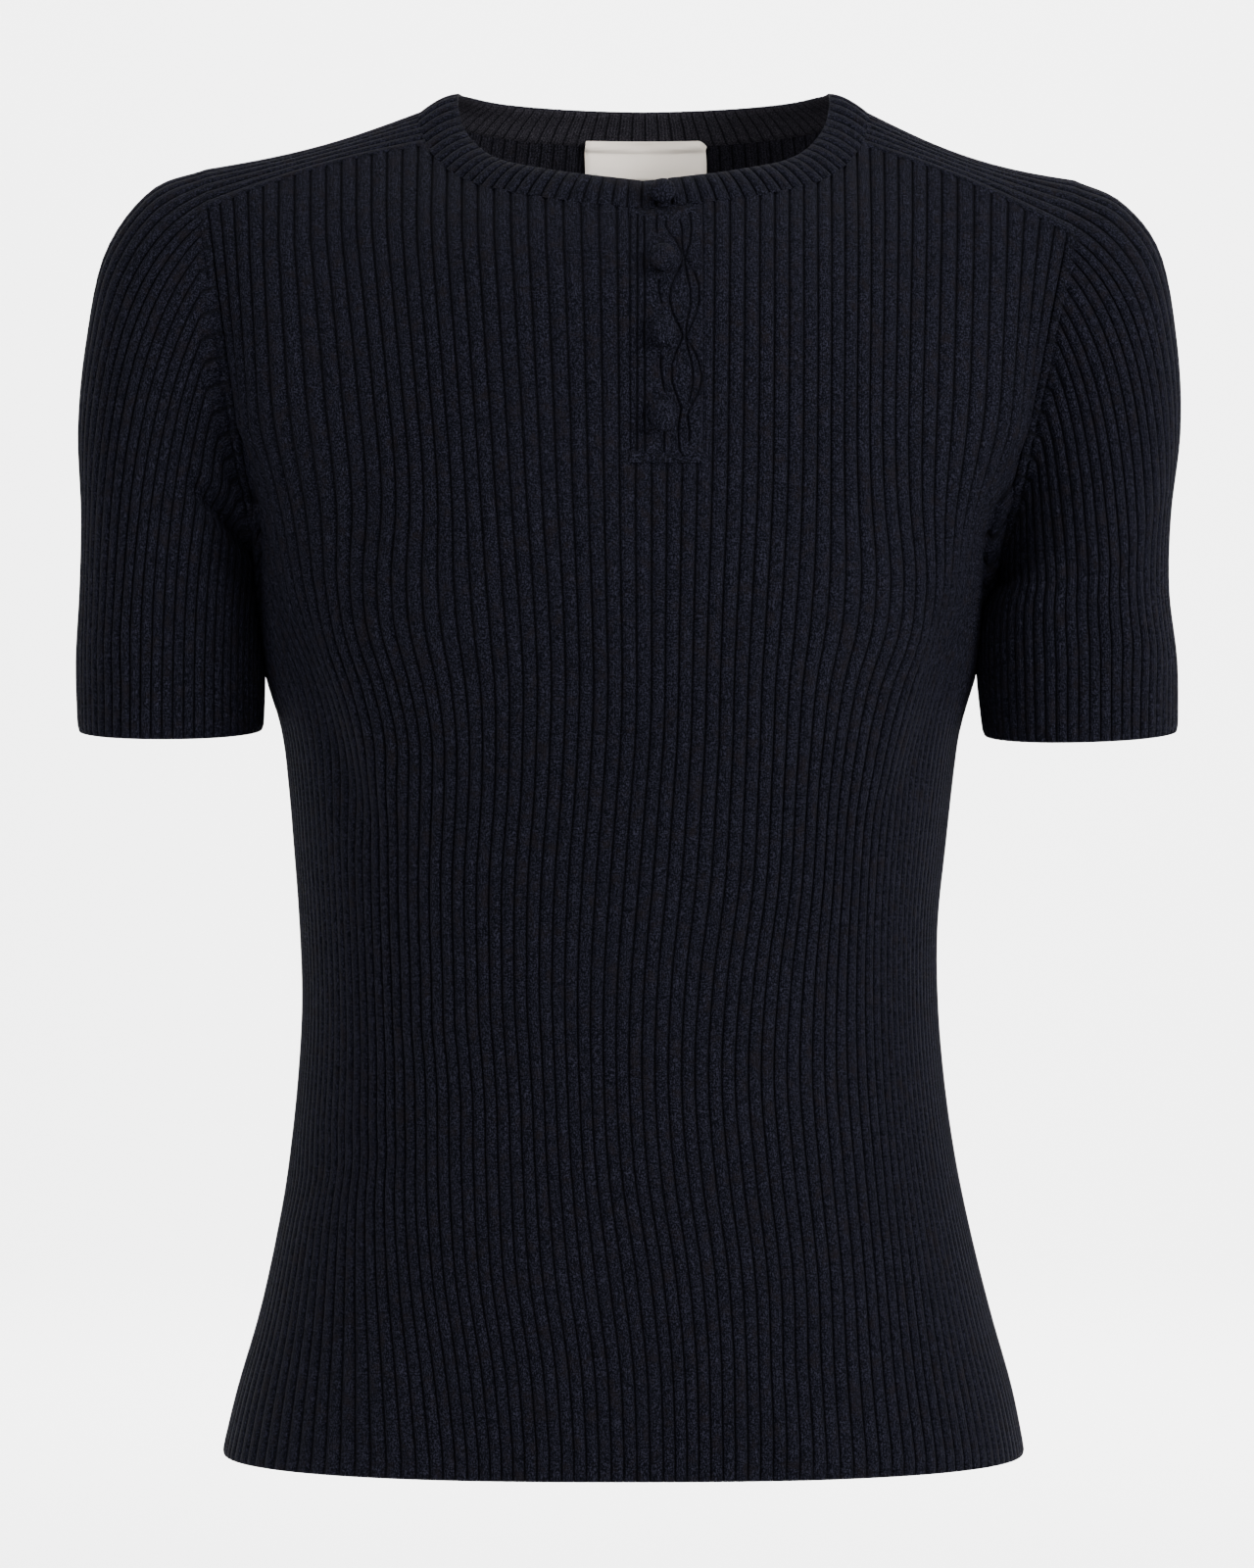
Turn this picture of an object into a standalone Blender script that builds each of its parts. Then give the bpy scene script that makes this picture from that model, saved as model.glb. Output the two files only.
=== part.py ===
"""A short-sleeved rib knit sweater, filled out as on a wearer, with saddle shoulders and a short
cabled placket with covered buttons.

The front of the garment faces -Y, +X is the viewer's right and +Z is up. The origin is where the
garment is held: on the shoulder line, at the middle of the neck. Sizes are metres.

Each panel is a grid of cloth. Its columns are the wales (lines of ribs) and its rows run round
the garment. The outer points carry the ribs and the inner wall is plain, with a quarter of the
columns.
"""
import functools
import math

import bmesh
import bpy
import numpy as np

# Driving dimensions
HEM_Z = -0.578              # hem, below the shoulder line
SPLIT_Z = -0.138            # height where the armhole stops taking ribs
UNDERARM_Z = -0.200
WALL = 0.0012               # plain cloth, at the bottom of a groove
RIB = 0.0011                # rise of a rib over its grooves
SEAM = 0.0003               # gap between two pieces at a seam
STRAP_PULL = 0.0008         # each edge's draw-back where two walls meet at an angle
BAND_PULL = 0.0007
BODY_RIBS = 64              # on the front, and again on the back
ARMHOLE_RIBS = 4            # ribs of a panel that end at each armhole
SLEEVE_RIBS = 44
STRAP_RIBS = 12             # sleeve ribs that run on over the shoulder
NECK_RIBS = 84
BAND_BULGE = 0.0012         # how far the neckband's middle rolls out
SIDE_Y = 0.008              # the side seams lie a little behind the middle
PANEL_ROWS = 9              # hem to split
YOKE_ROWS = 4               # split to shoulder
SLEEVE_COLUMNS = 2 * SLEEVE_RIBS
CUFF_DROP = 0.10            # the cuff's rise towards the back over its depth
BAND_OPENING = 7.0          # angle of the neckband's ends, from the front's middle
BAND_HALF_GAP = 0.25
BAND_LEAN = 0.45            # upward share of the way the neckband's middle rolls out
BAND_EDGE_RIB = 0.6         # share of the ribs' rise at the neckband's free edge
BUTTON_RADII = (0.0058, 0.0030, 0.0068)

# The trunk's sections: height, left and right side, front and back depth, x of the front's
# middle wale, and the squareness of the section.
TRUNK = (
    # z,      left,    right,  front,   back,   middle,  square
    (-0.578, -0.1815, 0.1640, 0.1170, 0.1120, 0.0085, 2.50),
    (-0.5525, -0.1754, 0.1590, 0.1160, 0.1110, 0.0085, 2.45),
    (-0.5185, -0.1655, 0.1495, 0.1130, 0.1080, 0.0055, 2.40),
    (-0.4845, -0.1580, 0.1410, 0.1090, 0.1020, 0.0005, 2.35),
    (-0.4505, -0.1525, 0.1340, 0.1060, 0.0960, -0.0045, 2.30),
    (-0.4165, -0.1488, 0.1292, 0.1040, 0.0910, -0.0065, 2.30),
    (-0.3825, -0.1470, 0.1265, 0.1030, 0.0880, -0.0060, 2.30),
    (-0.3485, -0.1482, 0.1265, 0.1030, 0.0880, -0.0045, 2.30),
    (-0.3145, -0.1507, 0.1300, 0.1050, 0.0900, -0.0010, 2.30),
    (-0.2890, -0.1529, 0.1328, 0.1080, 0.0930, 0.0025, 2.30),
    (-0.2635, -0.1562, 0.1364, 0.1130, 0.0970, 0.0030, 2.30),
    (-0.2380, -0.1605, 0.1400, 0.1170, 0.1010, 0.0030, 2.30),
    (-0.2100, -0.1618, 0.1430, 0.1190, 0.1040, 0.0030, 2.30),
    (-0.1800, -0.1625, 0.1470, 0.1180, 0.1060, 0.0035, 2.35),
    (-0.1500, -0.1660, 0.1600, 0.1120, 0.1060, 0.0045, 2.45),
    (-0.1380, -0.1700, 0.1640, 0.1090, 0.1060, 0.0050, 2.50),
)

# The sleeves' sections, cuff to armhole, in the plane of the arm: inner and outer edge of each
# section (x, z), its depth to front and back, the y of its middle and how far its ribs have
# turned from the cuff's even spacing to the armhole's.
SLEEVE_LEFT = (
    # in x,    in z,    out x,   out z,   front,  back,   mid y,  turn
    (-0.1660, -0.2655, -0.2432, -0.2655, 0.0460, 0.0470, -0.008, 0.00),
    (-0.1665, -0.2400, -0.2440, -0.2360, 0.0465, 0.0475, -0.008, 0.04),
    (-0.1665, -0.2180, -0.2425, -0.2050, 0.0470, 0.0485, -0.007, 0.15),
    (-0.1672, -0.2085, -0.2420, -0.1720, 0.0480, 0.0500, -0.005, 0.32),
    (-0.1672, -0.2060, -0.2436, -0.1350, 0.0490, 0.0520, -0.002, 0.50),
    (-0.1668, -0.2045, -0.2405, -0.0980, 0.0500, 0.0535, 0.001, 0.66),
    (-0.1662, -0.2030, -0.2325, -0.0590, 0.0505, 0.0545, 0.004, 0.82),
    (-0.1652, -0.2018, -0.2135, -0.0325, 0.0505, 0.0545, 0.006, 0.93),
    (-0.1630, -0.2000, -0.1900, -0.0230, 0.0500, 0.0540, 0.008, 1.00),
)
SLEEVE_RIGHT = (
    # in x,   in z,    out x,  out z,   front,  back,   mid y,  turn
    (0.1480, -0.2680, 0.2296, -0.2655, 0.0460, 0.0470, -0.008, 0.00),
    (0.1478, -0.2400, 0.2292, -0.2360, 0.0465, 0.0475, -0.008, 0.04),
    (0.1490, -0.2180, 0.2258, -0.2050, 0.0470, 0.0485, -0.007, 0.15),
    (0.1512, -0.2085, 0.2268, -0.1720, 0.0480, 0.0500, -0.005, 0.32),
    (0.1524, -0.2060, 0.2312, -0.1350, 0.0490, 0.0520, -0.002, 0.50),
    (0.1528, -0.2045, 0.2300, -0.0980, 0.0500, 0.0535, 0.001, 0.66),
    (0.1526, -0.2030, 0.2230, -0.0590, 0.0505, 0.0545, 0.004, 0.82),
    (0.1520, -0.2018, 0.2070, -0.0375, 0.0505, 0.0545, 0.006, 0.93),
    (0.1500, -0.2000, 0.1870, -0.0275, 0.0500, 0.0540, 0.008, 1.00),
)
ARMHOLE_SQUARE = 2.15
# Angle round an armhole, from its bottom, where the strap's front and back seams start
STRAP_ANGLES = {-1: (140.0, 140.0), 1: (133.0, 140.0)}

# The neck's seam and its free top edge, by the angle from the front's middle
NECK_SEAM_SIZE = (0.0970, 0.0790)
NECK_EDGE_SIZE = (0.0808, 0.0680)
NECK = (
    # angle, seam z,  edge z
    (0.0, -0.0480, -0.0345),
    (30.0, -0.0410, -0.0285),
    (55.0, -0.0305, -0.0200),
    (75.0, -0.0140, -0.0050),
    (90.0, 0.0000, 0.0095),
    (105.0, 0.0030, 0.0112),
    (130.0, -0.0010, 0.0108),
    (180.0, -0.0050, 0.0100),
)
STRAP_NECK_ANGLES = (74.0, 122.0)   # of its front and back seam at the neck
RIDGE_NECK_ANGLE = 96.0
STRAP_EDGE_RISE = 0.0035            # of its seams' middles over the line between their ends
RIDGE_SAG = {-1: 0.0030, 1: 0.0050}  # of its top line's middle under the line between its ends
# Ribs between the middle wale and the strap, on the front's two sides and on the back
YOKE_CORNER_RIBS = {-1: 15, 1: 14}
BACK_CORNER_RIBS = 15
FRONT_MIDDLE_X = 0.0085             # the front's middle wale at the neck
YOKE_BULGE = 0.0060                 # of the yoke's middle, out from its borders
SPLIT_EASE = 0.45                   # share of a half panel that is drawn in to the armhole
ARMHOLE_EASE = 0.03                 # height below the underarm where that starts
SOFT_STEPS = (-4, -2, 0, 2, 4)      # wales whose mean rounds the yoke's upper corners off
SOFT_RIBS = 6.0                     # ribs from the armhole in which that fades in

COLOURS = {"knit": (0.011, 0.013, 0.026), "label": (0.76, 0.72, 0.65)}


def unit(vectors):
    """The vectors at length 1."""
    return vectors / np.maximum(np.linalg.norm(vectors, axis=-1, keepdims=True), 1e-12)


@functools.lru_cache(maxsize=None)
def knots_of(table):
    """A table as sorted knots, its values there and their slopes."""
    values = np.array(sorted(table), float)
    return values[:, 0], values, np.gradient(values, values[:, 0], axis=0)


def smooth_rows(table, at):
    """Every column of a table read at other values of its first column, through a smooth curve."""
    knots, values, slopes = knots_of(table)
    at = np.clip(np.atleast_1d(np.asarray(at, float)), knots[0], knots[-1])
    low = np.clip(np.searchsorted(knots, at) - 1, 0, len(knots) - 2)
    step = (knots[low + 1] - knots[low])[:, None]
    t = (at - knots[low])[:, None] / step
    return ((1 + 2 * t) * (1 - t) ** 2 * values[low] + t * (1 - t) ** 2 * step * slopes[low]
            + t * t * (3 - 2 * t) * values[low + 1] + t * t * (t - 1) * step * slopes[low + 1])


def arc_curve(square, count=361):
    """Half a rounded section from its left (-1, 0) over (0, 1) to its right (1, 0)."""
    angle = np.linspace(0.0, math.pi, count)
    x = -np.sign(np.cos(angle)) * np.abs(np.cos(angle)) ** (2.0 / square)
    return x, np.sin(angle) ** (2.0 / square)


@functools.lru_cache(maxsize=None)
def trunk_point(z, wale, back=False):
    """The point of the trunk at a height, on a wale counted from the middle one."""
    row = smooth_rows(TRUNK, z)[0]
    _, left, right, front, rear, middle, square = row
    unit_x, unit_y = arc_curve(square)
    x = (left + right) / 2 + unit_x * (right - left) / 2
    depth = rear - SIDE_Y if back else front + SIDE_Y
    y = SIDE_Y + depth * unit_y * (1 if back else -1)
    length = np.concatenate([[0.0], np.cumsum(np.hypot(np.diff(x), np.diff(y)))])
    centre = (left + right) / 2 if back else middle
    at_centre = np.interp(centre, x, length)
    half = BODY_RIBS / 2
    at = np.interp(wale, (-half, 0.0, half), (0.0, at_centre, length[-1]))
    return np.array([np.interp(at, length, x), np.interp(at, length, y), z])


def sleeve_table(side):
    """The table of the left (-1) or right (1) sleeve."""
    return SLEEVE_LEFT if side < 0 else SLEEVE_RIGHT


def sleeve_ring(row, angles):
    """Points of a sleeve's section at angles from its inner edge, front first, in radians."""
    in_x, in_z, out_x, out_z, front, back, mid_y, _ = row
    across = -np.sign(np.cos(angles)) * np.abs(np.cos(angles)) ** (2.0 / ARMHOLE_SQUARE)
    deep = -np.sign(np.sin(angles)) * np.abs(np.sin(angles)) ** (2.0 / ARMHOLE_SQUARE)
    depth = np.where(deep < 0, front, back)
    return np.stack([
        (in_x + out_x) / 2 + across * (out_x - in_x) / 2,
        mid_y + deep * depth,
        (in_z + out_z) / 2 + across * (out_z - in_z) / 2], axis=-1)


def armhole_point(side, degrees):
    """A point of the armhole's seam at an angle from its bottom, through the front."""
    return sleeve_ring(sleeve_table(side)[-1], np.radians(np.atleast_1d(degrees)))[0]


@functools.lru_cache(maxsize=None)
def neck_point(degrees, edge=False):
    """A point of the neck's seam or of its free edge. The angle grows to the viewer's right."""
    size_x, size_y = NECK_EDGE_SIZE if edge else NECK_SEAM_SIZE
    folded = abs((degrees + 180.0) % 360.0 - 180.0)
    z = smooth_rows(NECK, folded)[0][2 if edge else 1]
    angle = math.radians(degrees)
    return np.array([size_x * math.sin(angle), -size_y * math.cos(angle), z])


def strap_edge(side, along, back=False):
    """A point of the strap's front or back seam: 0 at the armhole and 1 at the neck."""
    outer = STRAP_ANGLES[side][1 if back else 0]
    start = armhole_point(side, 360.0 - outer if back else outer)
    end = neck_point(side * STRAP_NECK_ANGLES[1 if back else 0])
    point = start + (end - start) * along
    point[2] += STRAP_EDGE_RISE * math.sin(math.pi * along)
    return point


def strap_ridge(side, along):
    """A point of the strap's top line."""
    start = armhole_point(side, 180.0)
    end = neck_point(side * RIDGE_NECK_ANGLE)
    point = start + (end - start) * along
    point[2] -= RIDGE_SAG[side] * math.sin(math.pi * along)
    return point


def strap_point(side, along, across):
    """A point of the strap: across runs from 0, its front seam, to 1, its back seam."""
    front, ridge = strap_edge(side, along), strap_ridge(side, along)
    back = strap_edge(side, along, back=True)
    middle = (front + back) / 2
    start = front if across < 0.5 else back
    share = 1.0 - abs(2.0 * across - 1.0)
    return start + (middle - start) * share + (ridge - middle) * math.sin(math.pi / 2 * share)


@functools.lru_cache(maxsize=None)
def yoke_top(wale, back=False):
    """The upper border of a panel: along one strap's seam, the neck and the other strap's seam."""
    half = BODY_RIBS / 2 - ARMHOLE_RIBS
    side = -1 if wale < 0 else 1
    corner = BACK_CORNER_RIBS if back else YOKE_CORNER_RIBS[side]
    neck_angle = STRAP_NECK_ANGLES[1 if back else 0]
    if abs(wale) > corner:
        return strap_edge(side, (half - abs(wale)) / (half - corner), back)
    if back:
        x = wale / corner * neck_point(neck_angle)[0]
        return neck_point(180.0 - math.degrees(math.asin(x / NECK_SEAM_SIZE[0])))
    edge_x = side * neck_point(neck_angle)[0]
    x = FRONT_MIDDLE_X + abs(wale) / corner * (edge_x - FRONT_MIDDLE_X)
    return neck_point(math.degrees(math.asin(x / NECK_SEAM_SIZE[0])))


@functools.lru_cache(maxsize=None)
def soft_top(wale, back=False):
    """The yoke's upper border with its corners at the neck rounded off, for the cloth below it."""
    half = BODY_RIBS / 2 - ARMHOLE_RIBS
    near = [yoke_top(float(np.clip(wale + step, -half, half)), back) for step in SOFT_STEPS]
    own = yoke_top(wale, back)
    return own + (np.mean(near, axis=0) - own) * min(1.0, (half - abs(wale)) / SOFT_RIBS)


def yoke_side(side, v, back=False):
    """The armhole seam beside the yoke: 0 at the split and 1 at the strap."""
    top = STRAP_ANGLES[side][1 if back else 0]
    low = split_angle(side)
    angle = low + (top - low) * v
    return armhole_point(side, 360.0 - angle if back else angle)


@functools.lru_cache(maxsize=None)
def split_angle(side):
    """The armhole's angle at the height of the split."""
    angles = np.linspace(5.0, 120.0, 231)
    heights = sleeve_ring(sleeve_table(side)[-1], np.radians(angles))[:, 2]
    return float(np.interp(SPLIT_Z, heights, angles))


def yoke_point(v, wale, back=False):
    """A point of the yoke: a patch stretched between the split, both armholes and the top."""
    half = BODY_RIBS / 2 - ARMHOLE_RIBS
    u = (wale + half) / (2 * half)
    low, top, soft = split_point(wale, back), yoke_top(wale, back), soft_top(wale, back)
    top = soft + (top - soft) * v ** 3
    left, right = yoke_side(-1, v, back), yoke_side(1, v, back)
    corners = ((1 - u) * (1 - v) * split_point(-half, back) + u * (1 - v) * split_point(half, back)
               + (1 - u) * v * yoke_top(-half, back) + u * v * yoke_top(half, back))
    point = (1 - v) * low + v * top + (1 - u) * left + u * right - corners
    bulge = YOKE_BULGE * math.sin(math.pi * v) * math.sin(math.pi * u)
    point[1] += bulge if back else -bulge
    return point


@functools.lru_cache(maxsize=None)
def split_point(wale, back=False):
    """A point of the row at the split, drawn in to the armholes at its ends."""
    half = BODY_RIBS / 2 - ARMHOLE_RIBS
    point = trunk_point(SPLIT_Z, wale, back)
    for side in (-1, 1):
        edge = yoke_side(side, 0.0, back)
        own = trunk_point(SPLIT_Z, side * half, back)
        share = np.clip((side * wale / half - 1.0) / SPLIT_EASE + 1.0, 0.0, 1.4)
        point = point + (edge - own) * share * share * (3 - 2 * min(share, 1.0))
    return point


def panel_point(row, wale, back=False):
    """A point of a panel below the split: row 0 is the hem and row 1 the split or the armhole."""
    half = BODY_RIBS / 2 - ARMHOLE_RIBS
    over = max(abs(wale) - half, 0.0) / ARMHOLE_RIBS
    side = -1 if wale < 0 else 1
    angle = split_angle(side) * (1 - over)
    top = armhole_point(side, 360.0 - angle if back else angle) if over else None
    top_z = top[2] if over else SPLIT_Z
    z = HEM_Z + (top_z - HEM_Z) * row
    point = trunk_point(z, wale, back)
    target = top if over else split_point(wale, back)
    own = trunk_point(top_z, wale, back)
    start = UNDERARM_Z - ARMHOLE_EASE
    ease = np.clip((z - start) / (top_z - start), 0.0, 1.0)
    return point + (target - own) * ease * ease * (3 - 2 * ease)


def grid_normals(points, outward):
    """Unit normals of a grid of points, on the side that outward names."""
    normals = unit(np.cross(np.gradient(points, axis=1), np.gradient(points, axis=0)))
    if (normals * outward).sum() < 0:
        normals = -normals
    return normals


def stitch(bm, long_edge, short_edge):
    """Triangles between an outer border and an inner one that has a quarter of its steps."""
    for i in range(len(short_edge) - 1):
        a, b = short_edge[i], short_edge[i + 1]
        steps = long_edge[4 * i:4 * i + 5]
        for face in ((a, steps[0], steps[1]), (a, steps[1], steps[2]), (a, steps[2], b),
                     (b, steps[2], steps[3]), (b, steps[3], steps[4])):
            bm.faces.new(face)


def strip(bm, first, second):
    """Quads between two rows with the same number of points."""
    for i in range(len(first) - 1):
        bm.faces.new((first[i], first[i + 1], second[i + 1], second[i]))


def rows_of(bm, points):
    """A vertex for each point of a grid."""
    return [[bm.verts.new(p) for p in row] for row in points]


def finish(bm, name, material):
    """The object of a closed mesh, with its faces turned out."""
    bm.normal_update()
    bmesh.ops.recalc_face_normals(bm, faces=bm.faces[:])
    mesh = bpy.data.meshes.new(name)
    bm.to_mesh(mesh)
    bm.free()
    mesh.shade_smooth()
    mesh.set_sharp_from_angle(angle=math.radians(50))
    mesh.materials.append(material)
    obj = bpy.data.objects.new(name, mesh)
    bpy.context.scene.collection.objects.link(obj)
    return obj


def make_material(name, colour, roughness):
    """A Principled material."""
    material = bpy.data.materials.new(name)
    material.use_nodes = True
    shader = material.node_tree.nodes["Principled BSDF"]
    shader.inputs["Base Color"].default_value = (*colour, 1.0)
    shader.inputs["Roughness"].default_value = roughness
    shader.inputs["Metallic"].default_value = 0.0
    return material


def knit(name):
    """The dark rib knit, one material for each piece."""
    return make_material(name + "_knit", COLOURS["knit"], 0.9)


def relief(count):
    """Rise of the outer columns: a groove on each even column and a rib's top between."""
    return RIB * (np.arange(count) % 2)


def make_panel(name, back=False):
    """The front or the back, hem to shoulder, as one closed wall."""
    half, yoke = BODY_RIBS // 2, BODY_RIBS // 2 - ARMHOLE_RIBS
    wales = np.arange(-2 * half, 2 * half + 1) / 2.0
    rows = np.linspace(0.0, 1.0, PANEL_ROWS + 1)
    low = np.array([[panel_point(r, w, back) for w in wales] for r in rows])
    inset = slice(2 * ARMHOLE_RIBS, len(wales) - 2 * ARMHOLE_RIBS)
    top = np.array([[yoke_point(v, w, back) for w in wales[inset]]
                    for v in np.linspace(0.0, 1.0, YOKE_ROWS + 1)[1:]])
    outward = np.array([0.0, 1.0 if back else -1.0, 0.0])
    normals = grid_normals(low, outward)
    normals[:, [0, -1], 1] = 0.0
    normals = unit(normals)
    middle = np.concatenate([low[:, inset], top])
    middle_normals = grid_normals(middle, outward)
    normals[-1, inset] = middle_normals[len(low) - 1]
    top_normals = middle_normals[len(low):]
    rise = relief(len(wales))[None, :, None] * np.ones((len(rows), 1, 1))
    rise[-1, :2 * ARMHOLE_RIBS] = rise[-1, -2 * ARMHOLE_RIBS:] = 0.0
    gap = (1 if back else -1) * SEAM / 2
    low[:, [0, -1], 1] += gap
    pull_from_seams(low, top, inset)
    bm = bmesh.new()
    outer = rows_of(bm, low + normals * rise)
    outer_top = rows_of(bm, top + top_normals * relief(len(wales))[inset][None, :, None])
    inner = rows_of(bm, (low - normals * WALL)[:, ::4])
    inner_top = rows_of(bm, (top - top_normals * WALL)[:, ::4])
    outer_yoke = [row[inset] for row in outer[-1:]] + outer_top
    edge = ARMHOLE_RIBS // 2
    inner_yoke = [inner[-1][edge:-edge]] + inner_top
    for grid in (outer, inner, outer_yoke, inner_yoke):
        for first, second in zip(grid, grid[1:]):
            strip(bm, first, second)
    stitch(bm, outer[0], inner[0])
    stitch(bm, outer_yoke[-1], inner_yoke[-1])
    cut = 2 * ARMHOLE_RIBS
    stitch(bm, outer[-1][:cut + 1], inner[-1][:edge + 1])
    stitch(bm, outer[-1][-cut - 1:], inner[-1][-edge - 1:])
    for end in (0, -1):
        strip(bm, [row[end] for row in outer], [row[end] for row in inner])
        strip(bm, [row[end] for row in outer_yoke], [row[end] for row in inner_yoke])
    return finish(bm, name, knit(name))


def pull_from_seams(low, top, inset):
    """Draws a panel's edges back from its neighbours along the armholes, straps and neck."""
    shift = SEAM
    low[-1, :inset.start] += unit(low[-2, :inset.start] - low[-1, :inset.start]) * shift
    low[-1, inset.stop:] += unit(low[-2, inset.stop:] - low[-1, inset.stop:]) * shift
    rows = [low[-1, inset]] + list(top)
    for row in rows:
        row[0] += unit(row[1] - row[0]) * shift
        row[-1] += unit(row[-2] - row[-1]) * shift
    top[-1] += unit(top[-2] - top[-1]) * STRAP_PULL


def sleeve_angles(side):
    """Angles of the sleeve's columns at the cuff and at the armhole, in radians."""
    dense = np.radians(np.linspace(0.0, 360.0, 721))
    ring = sleeve_ring(sleeve_table(side)[0], dense)
    length = np.concatenate([[0.0], np.cumsum(np.linalg.norm(np.diff(ring, axis=0), axis=1))])
    share = np.linspace(0.0, 1.0, SLEEVE_COLUMNS + 1)[:-1]
    at_cuff = np.interp(share * length[-1], length, dense)
    front, back = STRAP_ANGLES[side]
    middle, strap = SLEEVE_COLUMNS / 2, STRAP_RIBS
    knots = (0, middle - strap, middle, middle + strap, SLEEVE_COLUMNS)
    angles = np.radians((0.0, front, 180.0, 360.0 - back, 360.0))
    at_armhole = np.interp(np.arange(SLEEVE_COLUMNS), knots, angles)
    return at_cuff, at_armhole


def make_sleeve(name, side):
    """A sleeve from its cuff to the armhole, and on as a strap over the shoulder to the neck."""
    at_cuff, at_armhole = sleeve_angles(side)
    table = sleeve_table(side)
    rings = []
    for row in table:
        ring = sleeve_ring(row, at_cuff + (at_armhole - at_cuff) * row[-1])
        if row is table[0]:
            ring[:, 2] += (ring[:, 1] - row[6]) * CUFF_DROP
        rings.append(ring)
    start = SLEEVE_COLUMNS // 2 - STRAP_RIBS
    inset = slice(start, start + 2 * STRAP_RIBS + 1)
    across = np.linspace(0.0, 1.0, 2 * STRAP_RIBS + 1)
    rings[-1][inset] = [strap_point(side, 0.0, a) for a in across]
    tube = np.array(rings)
    strap = np.array([[strap_point(side, s, a) for a in across]
                      for s in np.linspace(0.0, 1.0, YOKE_ROWS + 1)[1:]])
    centre = tube.mean(axis=1, keepdims=True)
    closed = np.concatenate([tube[:, -1:], tube, tube[:, :1]], axis=1)
    normals = unit(np.cross(np.gradient(closed, axis=1), np.gradient(closed, axis=0)))[:, 1:-1]
    if (normals * (tube - centre)).sum() < 0:
        normals = -normals
    joined = np.concatenate([tube[:, inset], strap])
    strap_normals = grid_normals(joined, np.array([0.0, 0.0, 1.0]))
    normals[-1, inset] = strap_normals[len(tube) - 1]
    strap_normals = strap_normals[len(tube):]
    rise = relief(SLEEVE_COLUMNS)[None, :, None] * np.ones((len(tube), 1, 1))
    rise[-1, :start] = rise[-1, inset.stop:] = 0.0
    strap[-1] += unit(strap[-2] - strap[-1]) * BAND_PULL
    for row in strap:
        row[0] += unit(row[1] - row[0]) * STRAP_PULL
        row[-1] += unit(row[-2] - row[-1]) * STRAP_PULL
    outside = [i for i in range(SLEEVE_COLUMNS) if not inset.start < i < inset.stop - 1]
    tube[-1, outside] += unit(tube[-2, outside] - tube[-1, outside]) * SEAM
    bm = bmesh.new()
    outer = rows_of(bm, tube + normals * rise)
    outer_strap = rows_of(bm, strap + strap_normals * relief(len(across))[None, :, None])
    inner = rows_of(bm, (tube - normals * WALL)[:, ::4])
    inner_strap = rows_of(bm, (strap - strap_normals * WALL)[:, ::4])
    outer = [row + row[:1] for row in outer]
    inner = [row + row[:1] for row in inner]
    quarter = start // 4
    top_outer = [outer[-1][inset]] + outer_strap
    top_inner = [inner[-1][quarter:quarter + STRAP_RIBS // 2 + 1]] + inner_strap
    for grid in (outer, inner, top_outer, top_inner):
        for first, second in zip(grid, grid[1:]):
            strip(bm, first, second)
    stitch(bm, outer[0], inner[0])
    stitch(bm, top_outer[-1], top_inner[-1])
    stitch(bm, outer[-1][:start + 1], inner[-1][:quarter + 1])
    stitch(bm, outer[-1][inset.stop - 1:], inner[-1][quarter + STRAP_RIBS // 2:])
    for end in (0, -1):
        strip(bm, [row[end] for row in top_outer], [row[end] for row in top_inner])
    return finish(bm, name, knit(name))


def make_neckband(name):
    """The crew band: a strip round the neck whose ends meet at the placket."""
    ends = BAND_OPENING + BAND_HALF_GAP, 360.0 + BAND_OPENING - BAND_HALF_GAP
    angles = np.linspace(*ends, 2 * NECK_RIBS + 1)
    seam = np.array([neck_point(a) for a in angles])
    edge = np.array([neck_point(a, edge=True) for a in angles])
    out = unit(np.stack([np.sin(np.radians(angles)), -np.cos(np.radians(angles)),
                         BAND_LEAN * np.ones(len(angles))], axis=-1))
    seam += unit(edge - seam) * BAND_PULL
    middle = (seam + edge) / 2 + out * BAND_BULGE
    grid = np.array([seam, middle, edge])
    normals = grid_normals(grid, out[None])
    rise = relief(len(angles))[None, :, None] * np.array([1.0, 1.0, BAND_EDGE_RIB])[:, None, None]
    bm = bmesh.new()
    outer = rows_of(bm, grid + normals * rise)
    inner = rows_of(bm, (grid - normals * WALL)[:, ::4])
    for rows in (outer, inner):
        for first, second in zip(rows, rows[1:]):
            strip(bm, first, second)
    for end in (0, -1):
        stitch(bm, outer[end], inner[end])
        strip(bm, [row[end] for row in outer], [row[end] for row in inner])
    return finish(bm, name, knit(name))


# The placket: its strip in wales and heights, its cable, and the buttons' heights
PLACKET_WALES = (-1.0, 2.6)
PLACKET_Z = (-0.0535, -0.1560)
BUTTON_Z = (-0.0405, -0.0690, -0.0990, -0.1345)
BUTTON_GAPS = (0.0003, 0.0009, 0.0009, 0.0001)   # over the highest cloth below each button
BUTTON_X = 0.0078
BUTTON_ANGLE = 5.0          # of the top button on the neckband, from the front's middle
BUTTON_SEGMENTS = (14, 8)
CABLE_RISE = 0.0011
CABLE_LINES = (0.36, 0.62)  # the strands' places across the strip where they are closest
CABLE_SWAY = (-0.078, 0.13)  # how far each moves away between two buttons
CABLE_WIDTH = 0.09
PLACKET_LIFT = 0.0001       # over the ribs and the seam's gap
PLACKET_COLUMNS = 12
PLACKET_ROWS = 18

# The label: its half width in wales and the middle's shift, its rows and heights on the yoke, and
# the place of its two walls under the back's inner wall
LABEL_HALF_WALES = 4.0
LABEL_SHIFT = 0.15
LABEL_ROWS = 3
LABEL_HEIGHTS = (1.0, 0.86)
LABEL_OUTER = 0.0010
LABEL_INNER = 0.0020


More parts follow.
